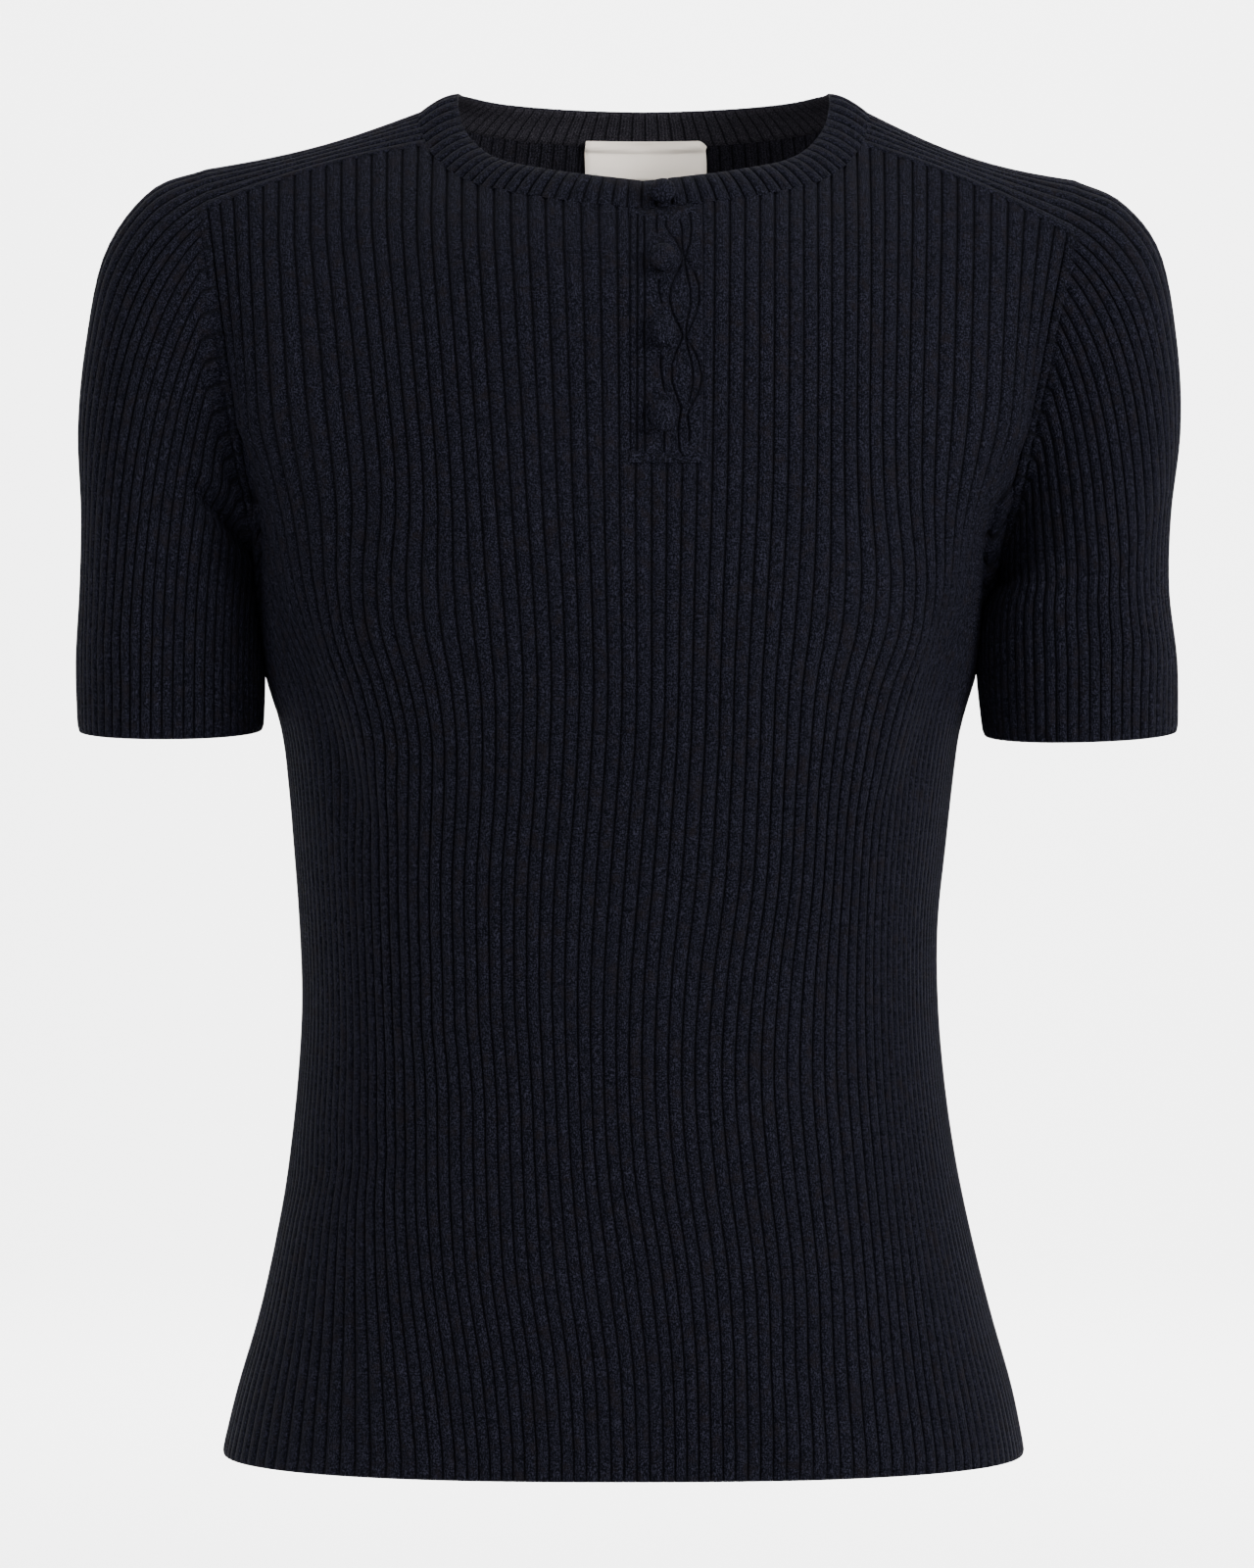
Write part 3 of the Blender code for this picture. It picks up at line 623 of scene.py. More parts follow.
class PanelForm:
    """The front or the back: the trunk below and the yoke stretched between its seams above."""

    trunk_rows = 37
    yoke_rows = 13
    front_middle = 0.0085
    corner_ribs = {(Face.FRONT, -1): 15, (Face.FRONT, 1): 14, (Face.BACK, -1): 15,
                   (Face.BACK, 1): 15}
    yoke_bulge = 0.006
    # Where the split's row starts to draw in to the armhole and over how far, as shares
    draw_in = (0.55, 0.45)
    soft_steps = (-4, -2, 0, 2, 4)
    soft_ribs = 6.0
    ease_over = 0.03
    split_between = (5.0, 120.0, 231)

    def __init__(self, face: Face, neck: NeckForm, shoulders: dict[Side, ShoulderForm]) -> None:
        """Keeps the forms around the panel and reads its trunk.

        Args:
            face: The garment's front or back.
            neck: The neck's form.
            shoulders: Both shoulders' forms.
        """
        self.face = face
        self.neck = neck
        self.shoulders = shoulders
        self.trunk = TrunkForm(face)
        self.split_angles = {side: self._split_angle(side) for side in Side}

    def _split_angle(self, side: Side) -> float:
        """The armhole's angle at the height of the split."""
        angles = np.linspace(*self.split_between)
        return float(np.interp(CUT.split_z, self.shoulders[side].armhole(angles)[:, 2], angles))

    def _armhole(self, side: Side, v: Array) -> Array:
        """The armhole's seam beside the yoke: 0 at the split and 1 at the strap.

        Args:
            side: The armhole's side.
            v: Places along the seam.

        Returns:
            One point for each place.
        """
        low = self.split_angles[side]
        high = self.shoulders[side].corner(self.face)
        return self.shoulders[side].armhole(low + (high - low) * v, self.face)

    def _split(self, wales: Array) -> Array:
        """The row at the split, drawn in to the armholes at its ends.

        Args:
            wales: The row's wales.

        Returns:
            One point for each wale.
        """
        height = np.full((1, len(wales)), CUT.split_z)
        points = self.trunk.points(height, wales)[0]
        for side in Side:
            edge = self._armhole(side, np.zeros(1))[0]
            own = self.trunk.points(height[:, :1], np.array([side.value * CUT.yoke]))[0, 0]
            share = smooth((side.value * wales / CUT.yoke - self.draw_in[0]) / self.draw_in[1])
            points = points + (edge - own) * share[:, None]
        return points

    def _top(self, wales: Array) -> Array:
        """The yoke's upper border: one strap's seam, the neck and the other strap's seam.

        Args:
            wales: The border's wales.

        Returns:
            One point for each wale.
        """
        points = np.empty((len(wales), 3))
        for i, wale in enumerate(wales):
            side = Side.LEFT if wale < 0 else Side.RIGHT
            corner = self.corner_ribs[self.face, side.value]
            neck_angle = self.shoulders[side].neck_angles[0 if self.face is Face.FRONT else 1]
            if abs(wale) > corner:
                along = (CUT.yoke - abs(wale)) / (CUT.yoke - corner)
                points[i] = self.shoulders[side].edge(along, self.face)[0]
                continue
            middle = self.front_middle if self.face is Face.FRONT else 0.0
            edge = side.value * self.neck.seam_size[0] * math.sin(math.radians(neck_angle))
            x = middle + abs(wale) / corner * (edge - middle)
            angle = math.degrees(math.asin(x / self.neck.seam_size[0]))
            points[i] = self.neck.points(angle if self.face is Face.FRONT else 180.0 - angle)[0]
        return points

    def _soft_top(self, wales: Array) -> Array:
        """The upper border with its corners at the neck rounded off, for the cloth below it.

        Args:
            wales: The border's wales.

        Returns:
            One point for each wale.
        """
        near = np.mean([self._top(np.clip(wales + step, -CUT.yoke, CUT.yoke))
                        for step in self.soft_steps], axis=0)
        own = self._top(wales)
        share = np.minimum(1.0, (CUT.yoke - np.abs(wales)) / self.soft_ribs)
        return own + (near - own) * share[:, None]

    def below(self) -> Array:
        """Points of the trunk's rows, hem to split and armhole, on each wale."""
        wales = self.trunk.wales
        rows = np.linspace(0.0, 1.0, self.trunk_rows)[:, None]
        over = np.maximum(np.abs(wales) - CUT.yoke, 0.0) / CUT.armhole_ribs
        target = self._split(wales)
        for j in np.flatnonzero(over):
            side = Side.LEFT if wales[j] < 0 else Side.RIGHT
            target[j] = self.shoulders[side].armhole(
                self.split_angles[side] * (1 - over[j]), self.face)[0]
        top = np.where(over > 0, target[:, 2], CUT.split_z)[None]
        z = CUT.hem_z + (top - CUT.hem_z) * rows
        own = self.trunk.points(top, wales)
        reach = self.ease_over - CUT.underarm_z
        ease = smooth((z + reach) / (top + reach))
        return self.trunk.points(z, wales) + (target[None] - own) * ease[..., None]

    def above(self) -> Array:
        """Points of the yoke's rows, split to top, on each wale between the armholes."""
        wales = np.arange(-CUT.yoke, CUT.yoke + 1)
        u = ((wales + CUT.yoke) / (2 * CUT.yoke))[None, :, None]
        v = np.linspace(0.0, 1.0, self.yoke_rows)
        low, top, soft = self._split(wales), self._top(wales), self._soft_top(wales)
        left, right = self._armhole(Side.LEFT, v), self._armhole(Side.RIGHT, v)
        v = v[:, None, None]
        high = soft + (top - soft) * v ** 3
        corners = ((1 - u) * (1 - v) * low[0] + u * (1 - v) * low[-1]
                   + (1 - u) * v * top[0] + u * v * top[-1])
        points = ((1 - v) * low + v * high + (1 - u) * left[:, None] + u * right[:, None]
                  - corners)
        bulge = self.yoke_bulge * np.sin(math.pi * v) * np.sin(math.pi * u)
        points[..., 1] += self.face.value * bulge[..., 0]
        return points


@dataclass(frozen=True)
class Fold:
    """One soft crease of the cloth: a line in x and z on one face."""

    start: tuple[float, float]
    end: tuple[float, float]
    depth: float
    width: float
    face: Face = Face.FRONT

    wander = 0.25
    wander_wave = (4.0, 40.0)
    run_out = (0.25, 0.45)
    facing = (0.15, 1.4)

    def height(self, points: Array, normals: Array) -> Array:
        """How far the fold lifts the cloth, or with a negative depth lowers it.

        Args:
            points: The cloth's points.
            normals: Its normals.

        Returns:
            One height for each point.
        """
        start, end = np.array(self.start), np.array(self.end)
        line = end - start
        flat = points[..., [0, 2]] - start
        along = (flat @ line) / (line @ line)
        wave, shift = self.wander_wave
        bend = self.wander * self.width * np.sin(wave * along + shift * start[0])
        side = np.array([line[1], -line[0]]) / np.linalg.norm(line)
        off = flat @ side + bend
        past, over = self.run_out
        ends = smooth((along + past) / over) * smooth((1 + past - along) / over)
        seen = smooth(self.facing[0] + self.facing[1] * self.face.value * normals[..., 1])
        return self.depth * np.exp(-((off / self.width) ** 2)) * ends * seen


@dataclass
class Grid:
    """One grid of a piece's cloth.

    Attributes:
        plain: Points of the inner wall, rows by columns by 3.
        raised: Points of the outer face.
        wales: The columns' places in ribs, or each point's own.
        courses: The rows' places in metres along the cloth.
        kept: Which faces stay, or None for all.
    """

    plain: Array
    raised: Array
    wales: Array
    courses: Array
    kept: Array | None = None


def rank(face: bmesh.types.BMFace, count: int) -> int:
    """Ranks a face by its vertices' numbers.

    Args:
        face: The face.
        count: Number of vertices in the mesh.

    Returns:
        Its rank, by its lowest, then its second and then its highest number.
    """
    first, second, *_, last = sorted(vert.index for vert in face.verts)
    return (first * count + second) * count + last


def object_from(bm: bmesh.types.BMesh, name: str,
                crease: float | None = None) -> bpy.types.Object:
    """Turns a finished bmesh into a smooth object of the scene.

    Its faces are put in order, because the steps before can list them differently each run.

    Args:
        bm: The bmesh, which is freed.
        name: The object's name.
        crease: Angle in degrees above which edges stay sharp, or None for no sharp edge.

    Returns:
        The new object, at the origin.
    """
    bmesh.ops.recalc_face_normals(bm, faces=bm.faces[:])
    count = len(bm.verts)
    bm.verts.index_update()
    bm.faces.sort(key=lambda face: rank(face, count))
    mesh = bpy.data.meshes.new(name)
    bm.to_mesh(mesh)
    bm.free()
    mesh.shade_smooth()
    if crease is not None:
        mesh.set_sharp_from_angle(angle=math.radians(crease))
    obj = bpy.data.objects.new(name, mesh)
    bpy.context.scene.collection.objects.link(obj)
    LOG.info("%s: %d faces", name, len(mesh.polygons))
    return obj


class Weave:
    """Builds one piece of cloth from its grids, as a closed wall of its own thickness."""

    weld = 2e-6
    crease = 62.0

    def __init__(self, name: str) -> None:
        """Starts an empty piece."""
        self.name = name
        self.grids: list[Grid] = []

    def add(self, grid: Grid) -> "Weave":
        """Adds one grid.

        Args:
            grid: The grid.

        Returns:
            This piece, to go on with.
        """
        self.grids.append(grid)
        return self

    def _lay(self, bm: bmesh.types.BMesh, grid: Grid, first: int) -> None:
        """Makes one grid's vertices and faces, and numbers the vertices from first on.

        Args:
            bm: The piece so far.
            grid: The grid to lay.
            first: Number of its first vertex.
        """
        rows, columns = grid.plain.shape[:2]
        number, uv = bm.verts.layers.int["number"], bm.loops.layers.uv["knit"]
        wales = np.broadcast_to(grid.wales, (rows, columns))
        made = bmesh.ops.create_grid(
            bm, x_segments=columns - 1, y_segments=rows - 1, size=1.0)["verts"]
        for vert in made:
            j = round((vert.co.x + 1) / 2 * (columns - 1))
            i = round((vert.co.y + 1) / 2 * (rows - 1))
            vert[number] = first + i * columns + j
            vert.co = grid.plain[i, j]
        dropped = []
        for face in {face for vert in made for face in vert.link_faces}:
            places = [divmod(vert[number] - first, columns) for vert in face.verts]
            for loop, (i, j) in zip(face.loops, places):
                loop[uv].uv = (wales[i, j], grid.courses[i])
            corner = (min(i for i, _ in places), min(j for _, j in places))
            if grid.kept is not None and not grid.kept[corner]:
                dropped.append(face)
        bmesh.ops.delete(bm, geom=dropped, context="FACES")

    def build(self) -> bpy.types.Object:
        """The finished piece, its inner wall on the plain points and its face on the raised."""
        bm = bmesh.new()
        number = bm.verts.layers.int.new("number")
        raised = bm.verts.layers.int.new("raised")
        bm.loops.layers.uv.new("knit")
        first = 0
        for grid in self.grids:
            self._lay(bm, grid, first)
            first += grid.plain[..., 0].size
        bmesh.ops.remove_doubles(bm, verts=bm.verts[:], dist=self.weld)
        made = bmesh.ops.extrude_face_region(bm, geom=bm.faces[:])["geom"]
        points = np.concatenate([grid.raised.reshape(-1, 3) for grid in self.grids])
        for vert in made:
            if isinstance(vert, bmesh.types.BMVert):
                vert.co = points[vert[number]]
                vert[raised] = 1
        for face in bm.faces:
            face.material_index = int(not any(vert[raised] for vert in face.verts))
        bm.normal_update()
        return object_from(bm, self.name, self.crease)


def across_cloth(cloth: Array, height: float) -> Array:
    """The cloth's x and y on every column at one height.

    Args:
        cloth: Points, rows by columns by 3.
        height: The height to read.

    Returns:
        Columns by 2.
    """
    return np.array([[np.interp(height, column[:, 2], column[:, axis]) for axis in (0, 1)]
                     for column in cloth.swapaxes(0, 1)])


def lengths(points: Array) -> Array:
    """Distance along a grid's middle column, row by row, in metres.

    Args:
        points: Rows by columns by 3.

    Returns:
        One distance for each row.
    """
    line = points[:, points.shape[1] // 2]
    return np.concatenate([[0.0], np.cumsum(np.linalg.norm(np.diff(line, axis=0), axis=1))])


def rounded_edge(count: int) -> Array:
    """Share of the wall's thickness on each row, less at the hem or cuff so that it turns over.

    Args:
        count: Number of rows.

    Returns:
        One share for each row.
    """
    share = np.ones(count)
    share[:2] = CLOTH.free_edge
    return share


@dataclass(frozen=True)
class Cloth:
    """The wall's plain thickness, and the height of a row of the form and of the fine grid."""

    wall: float = 0.0011
    free_edge: tuple[float, float] = (0.45, 0.88)
    form_row: float = 0.0122
    row: float = 0.0064


CLOTH = Cloth()


class Panel:
    """The front or back piece, hem to shoulders."""

    blend_ribs = 4.0
    smoothing = 8
    smooth_rows = 14
    # Ribs from the middle where the smoothing starts to fade, and over how many
    smooth_ribs = (20, 7)
    normal_ribs = 2
    top_rows = 23
    hem_row = 0.12
    fineness = 8

    def __init__(self, name: str, form: PanelForm, folds: Sequence[Fold]) -> None:
        """Keeps the piece's name, its form and its folds.

        Args:
            name: The piece's name.
            form: The panel's form.
            folds: The creases laid on it.
        """
        self.name = name
        self.form = form
        self.folds = folds

    def _shape(self) -> tuple[Array, Array, int]:
        """The dense grid of the piece, its columns' wales and its row at the split.

        Returns:
            The three of them.
        """
        below, above = self.form.below(), self.form.above()
        split = self.form.trunk_rows - 1
        rows = np.linspace(0.0, split, round(split * CLOTH.form_row / CLOTH.row) + 1)
        rows = np.insert(rows, 1, self.hem_row)
        tops = np.linspace(split, split + self.form.yoke_rows - 1, self.top_rows + 1)
        columns = np.linspace(-CUT.half, CUT.half, self.fineness * CUT.body_columns + 1)
        inner = np.abs(columns) <= CUT.yoke
        cut = CUT.armhole_ribs
        whole = np.concatenate([below[:, cut:-cut], above[1:]])
        ribs = np.abs(np.arange(-CUT.yoke, CUT.yoke + 1))
        free = 1 - smooth((ribs - self.smooth_ribs[0]) / self.smooth_ribs[1])
        soft = whole[split - self.smooth_rows:]
        for _ in range(self.smoothing):
            mean = (soft[:-2] + 2 * soft[1:-1] + soft[2:]) / 4
            soft[1:-1] += (mean - soft[1:-1]) * free[None, :, None]
        middle = refine(whole, np.concatenate([rows, tops[1:]]), columns[inner] + CUT.yoke)
        low = refine(below, rows, columns + CUT.half)
        cloth = np.concatenate([low, np.repeat(low[-1:], self.top_rows, axis=0)])
        own = smooth((np.abs(columns[inner]) - CUT.yoke + self.blend_ribs) / self.blend_ribs)
        cloth[:, inner] = middle
        cloth[:len(rows), inner] += (low[:, inner] - middle[:len(rows)]) * own[:, None]
        wales = RIB.columns(-CUT.rib_half, CUT.rib_half)
        return WaleMap(self.form.face).lay(cloth, columns, wales), wales, len(rows) - 1

    def surface(self) -> tuple[Array, Array, Array, int]:
        """The folded plain cloth, its normals, its columns' wales and its row at the split.

        Returns:
            The four of them.
        """
        points, wales, split = self._shape()
        outward = np.array([0.0, float(self.form.face.value), 0.0])
        inner = np.abs(wales) <= CUT.yoke
        normals = np.empty_like(points)
        normals[:split + 1] = grid_normals(points[:split + 1], outward)
        normals[split + 1:] = normals[split]
        normals[:, [0, -1], 1] = 0.0
        middle = grid_normals(points[:, inner], outward)
        near = np.abs(wales[inner]) - CUT.yoke + self.normal_ribs
        ease = smooth(near / self.normal_ribs)[None, :, None]
        ease = np.where(np.arange(len(points))[:, None, None] > split, 0.0, ease)
        normals[:, inner] = middle * (1 - ease) + normals[:, inner] * ease
        normals = unit(normals)
        for fold in self.folds:
            points = points + normals * fold.height(points, normals)[..., None]
        return points, normals, wales, split

    def build(self, placket: Placket | None = None) -> bpy.types.Object:
        """The finished piece, pressed flat where a placket covers it.

        Args:
            placket: The strip that lies on the piece, or None.

        Returns:
            The piece.
        """
        points, normals, wales, split = self.surface()
        count = len(points)
        share = rounded_edge(count)[:, None, None]
        rise = RIB.height(wales)[None, :, None] * np.ones((count, 1, 1))
        if placket is not None:
            pressed = placket.mask(points)[..., None]
            rise = rise * (1 - pressed)
            points = points - normals * placket.press * pressed
        plain = points - normals * CLOTH.wall * share
        raised = points + normals * rise * share
        side = np.abs(wales[:-1] + np.diff(wales) / 2) > CUT.yoke
        kept = ~(side[None] & (np.arange(count - 1) >= split)[:, None])
        return Weave(self.name).add(Grid(plain, raised, wales, lengths(points), kept)).build()


class Sleeve:
    """A sleeve from its cuff to the armhole, and on as a strap over the shoulder to the neck."""

    strap_start = (CUT.sleeve_ribs - CUT.strap_ribs) / 2
    strap_end = (CUT.sleeve_ribs + CUT.strap_ribs) / 2
    tube_rows = 38
    border_rows = 11
    border_start = 7.3
    border = 0.0042
    strap_rows = 18
    strap_ease = 7.0
    cuff_row = 0.08
    cuff_drop = 0.10
    # Where the ribs end on the armhole, as shares of the way from its bottom to the strap
    climb = Table(((0.0, 0.0), (3.0, 0.232), (6.0, 0.371), (9.0, 0.496), (12.0, 0.617),
                   (15.0, 0.733), (18.0, 0.836), (20.0, 0.913), (23.0, 1.0)))
    # How steeply each of them comes in, in degrees
    steepness = Table(((0.0, 86.0), (6.0, 81.0), (9.0, 77.0), (12.0, 71.0), (15.0, 64.0),
                       (18.0, 56.0), (20.0, 49.0), (21.5, 41.0), (23.0, 33.0)))
    # How far a rib may swing out past its place at the cuff, in degrees
    most_lead = 2.5
    straight = 0.46
    reach = 0.25
    # The armhole's own rib: from and over how many ribs past the underarm it rises, its ease
    rim_ribs = (2.0, 5.0)
    rim_ease = 0.25
    # How much the ribs flatten at the underarm, and over how many
    calm = 0.75
    calm_ribs = 6.0

    def __init__(self, name: str, shoulder: ShoulderForm, folds: Sequence[Fold]) -> None:
        """Keeps the piece's name, its shoulder and its folds.

        Args:
            name: The piece's name.
            shoulder: The shoulder that it is sewn to.
            folds: The creases laid on it.
        """
        self.name = name
        self.shoulder = shoulder
        self.folds = folds

    def _cuff(self, wales: Array) -> Array:
        """The ribs' angles at the cuff, evenly spaced, in radians.

        Args:
            wales: The ribs.

        Returns:
            One angle for each rib.
        """
        dense = np.radians(np.linspace(0.0, 360.0, 721))
        ring = self.shoulder.ring(SLEEVES[self.shoulder.side].at(0.0)[0], dense)
        length = np.concatenate([[0.0], np.cumsum(np.linalg.norm(np.diff(ring, axis=0), axis=1))])
        return np.interp(wales / CUT.sleeve_ribs * length[-1], length, dense)

    def _path(self, rib: float) -> Array:
        """One rib seen from the side of the arm: points in x and z, cuff to armhole.

        Args:
            rib: The rib, counted from the underarm to the strap's first one.

        Returns:
            The path's points, its first at the cuff.
        """
        side = self.shoulder.side.value
        table = SLEEVES[self.shoulder.side]
        start = self.shoulder.ring(table.at(0.0)[0], self._cuff(np.array([rib])))[0, [0, 2]]
        share = float(self.climb.at(rib)[0, 1])
        end = self.shoulder.armhole(self.shoulder.corner(Face.FRONT) * share)[0, [0, 2]]
        slope = math.radians(float(self.steepness.at(rib)[0, 1]))
        way = np.array([-side * math.cos(slope), math.sin(slope)])
        length = float(np.linalg.norm(end - start))
        first = start + np.array([0.0, 1.0]) * length * self.straight
        last = end - way * length * self.reach
        t = np.linspace(0.0, 1.0, 121)[:, None]
        return ((1 - t) ** 3 * start + 3 * t * (1 - t) ** 2 * first + 3 * t * t * (1 - t) * last
                + t ** 3 * end)

    def _crossings(self, path: Array, rows: Array) -> Array:
        """The sections' angles where a path crosses them, in radians.

        Args:
            path: Points in x and z, cuff to armhole.
            rows: The sections' rows.

        Returns:
            One angle for each section.
        """
        angles = np.empty(len(rows))
        for i, row in enumerate(rows):
            inner, outer = row[[1, 2]], row[[3, 4]]
            line = outer - inner
            above = np.array([-line[1], line[0]]) @ (path - inner).T
            above = above if above[-1] >= above[0] else -above
            place = np.interp(0.0, np.maximum.accumulate(above), np.arange(len(path)))
            spot = np.array([np.interp(place, np.arange(len(path)), path[:, k]) for k in (0, 1)])
            across = np.clip(2 * ((spot - inner) @ line) / (line @ line) - 1, -1.0, 1.0)
            bent = np.sign(across) * np.abs(across) ** (CUT.armhole_square / 2)
            angles[i] = math.acos(-bent)
        return angles

    def _angles(self, wales: Array, places: Array) -> Array:
        """The columns' angles on every row, from the cuff to the armhole, in radians.

        Args:
            wales: The columns' places in ribs.
            places: The rows, 0 to 8.

        Returns:
            Rows by columns.
        """
        rows = SLEEVES[self.shoulder.side].at(places)
        ribs = np.arange(0.0, self.strap_start + 1.0)
        paths = np.array([self._crossings(self._path(rib), rows) for rib in ribs[1:]]).T
        ends = self._cuff(ribs)
        front = np.concatenate([np.zeros((len(rows), 1)), paths], axis=1)
        front += (ends - front[0])[None] * np.clip(1 - places, 0.0, 1.0)[:, None]
        most = ends + math.radians(self.most_lead) * np.clip(places, 0.0, 1.0)[:, None]
        front = np.minimum(front, most)
        half = CUT.sleeve_ribs / 2
        turned = np.empty((len(rows), len(wales)))
        back_corner = math.radians(360.0 - self.shoulder.corner(Face.BACK))
        for i, own in enumerate(front):
            rear = 2 * math.pi - own
            rear[-1] += (back_corner - (2 * math.pi - own[-1])) * (i / (len(rows) - 1)) ** 2
            knots = list(zip(ribs, own)) + [(half, math.pi)]
            knots += list(zip(CUT.sleeve_ribs - ribs[::-1], rear[::-1]))
            turned[i] = Table(tuple(knots)).at(wales)[:, 1]
        return turned

    def _tube(self, wales: Array, across: Array, inset: Array) -> Array:
        """The rows from the cuff to the armhole, the strap's own columns eased into its end.

        Args:
            wales: The columns' places in ribs.
            across: The strap's columns, 0 to 1.
            inset: Which columns go on into the strap.

        Returns:
            Rows by columns by 3.
        """
        places = np.concatenate([
            [0.0, self.cuff_row],
            np.linspace(0.0, self.border_start, self.tube_rows)[1:-1],
            np.linspace(self.border_start, ARMHOLE_ROW, self.border_rows)])
        rings = []
        rows = SLEEVES[self.shoulder.side].at(places)
        for place, row, angles in zip(places, rows, self._angles(wales, places)):
            ring = self.shoulder.ring(row, angles)
            ring[:, 2] += (ring[:, 1] - row[7]) * self.cuff_drop * max(0.0, 1.0 - place)
            rings.append(ring)
        tube = np.array(rings)
        shift = self.shoulder.strap(np.zeros(1), across)[0] - tube[-1, inset]
        tube[:, inset] += shift[None] * smooth(places - self.strap_ease)[:, None, None]
        return tube

    def _rise(self, tube: Array, wales: Array) -> Array:
        """Rise of the tube's ribs, with one rib laid along the armhole where they end.

        Args:
            tube: The tube's points.
            wales: The columns' places in ribs.

        Returns:
            Rows by columns.
        """
        outside = np.maximum(self.strap_start - wales, wales - self.strap_end)
        rim = tube[-1, outside >= 0]
        away = np.full(tube.shape[:2], 1.0)
        near = len(tube) - 2 * self.border_rows
        for i in range(near, len(tube)):
            away[i] = np.linalg.norm(tube[i, :, None] - rim[None], axis=-1).min(axis=1)
        place = away / self.border
        from_underarm = np.minimum(wales, CUT.sleeve_ribs - wales)
        starts, over = self.rim_ribs
        beside = smooth(outside[None] + 1.0) * smooth((from_underarm - starts) / over)[None]
        ends = 1 - beside * (1 - smooth((place - 1.0) / self.rim_ease))
        rim_rib = np.where(place < 1.0, RIB.height(np.minimum(place, 1.0)), 0.0) * beside
        gathered = smooth((np.arange(len(tube)) - self.tube_rows / 2) / (self.tube_rows / 2))
        under = 1 - smooth(from_underarm / self.calm_ribs)
        calm = 1 - self.calm * gathered[:, None] * under[None]
        return RIB.height(wales)[None] * ends * calm + rim_rib

    def build(self) -> bpy.types.Object:
        """The finished piece."""
        wales = RIB.columns(0, CUT.sleeve_ribs)
        inset = (wales >= self.strap_start) & (wales <= self.strap_end)
        across = (wales[inset] - self.strap_start) / CUT.strap_ribs
        tube = self._tube(wales, across, inset)
        strap = self.shoulder.strap(np.linspace(0.0, 1.0, self.strap_rows + 1), across)
        centre = tube.mean(axis=1, keepdims=True)
        round_ = np.concatenate([tube[:, -2:-1], tube, tube[:, 1:2]], axis=1)
        normals = grid_normals(round_, round_ - centre)[:, 1:-1]
        joined = np.concatenate([tube[:, inset], strap[1:]])
        strap_normals = grid_normals(joined, np.array([0.0, 0.0, 1.0]))
        normals[-1, inset] = strap_normals[len(tube) - 1]
        strap_normals = strap_normals[len(tube) - 1:]
        for fold in self.folds:
            tube = tube + normals * fold.height(tube, normals)[..., None]
            strap = strap + strap_normals * fold.height(strap, strap_normals)[..., None]
        strap[0] = tube[-1, inset]
        rise = RIB.height(wales)[None, inset, None]
        tube_rise = self._rise(tube, wales)[..., None]
        share = rounded_edge(len(tube))[:, None, None]
        courses = lengths(tube)
        piece = Weave(self.name)
        piece.add(Grid(tube - normals * CLOTH.wall * share, tube + normals * tube_rise * share,
                       wales, courses))
        piece.add(Grid(strap - strap_normals * CLOTH.wall,
                       strap + strap_normals * rise, wales[inset],
                       courses[-1] + lengths(strap)))
        return piece.build()


class Neckband:
    """The crew band, folded double, whose ends meet under the top button."""

    opening = 7.0
    half_gap = 0.12
    rows = 12
    bulge = 0.0010
    roll = 0.0008
    lean = 0.45
    squareness = 6
    fade = 1.08

    def __init__(self, name: str, neck: NeckForm) -> None:
        """Keeps the piece's name and the neck's form.

        Args:
            name: The piece's name.
            neck: The neck's form.
        """
        self.name = name
        self.neck = neck

    def build(self) -> bpy.types.Object:
        """The finished piece."""
        wales = RIB.columns(0, CUT.neck_ribs)
        ends = (self.opening + self.half_gap, 360.0 + self.opening - self.half_gap)
        angles = np.interp(wales, (0, CUT.neck_ribs), ends)
        seam, edge = self.neck.points(angles), self.neck.points(angles, edge=True)
        turn = np.radians(angles)
        out = unit(np.stack([np.sin(turn), -np.cos(turn), np.full(len(turn), self.lean)],
                            axis=-1))
        t = np.linspace(0.0, 1.0, self.rows + 1)[:, None, None]
        points = seam * (1 - t) + edge * t + out * self.bulge * np.sin(math.pi * t)
        normals = grid_normals(points, out[None])
        fold = np.sqrt(np.clip(1 - (2 * t - 1) ** self.squareness, 0.0, 1.0))
        thick = CLOTH.wall + self.roll * fold
        ends_off = np.clip(self.fade - t ** self.squareness, 0.0, 1.0)
        rise = RIB.height(wales)[None, :, None] * ends_off
        piece = Weave(self.name)
        piece.add(Grid(points - normals * thick, points + normals * rise, wales,
                       lengths(points)))
        return piece.build()


def photo_line(*places: tuple[float, float]) -> Array:
    """A line across the placket, from x and height in millimetres, top first.

    Args:
        places: The line's points.

    Returns:
        The points in metres, lowest first.
    """
    line = np.array(places, float) / 1000.0
    return line[np.argsort(line[:, 1])]


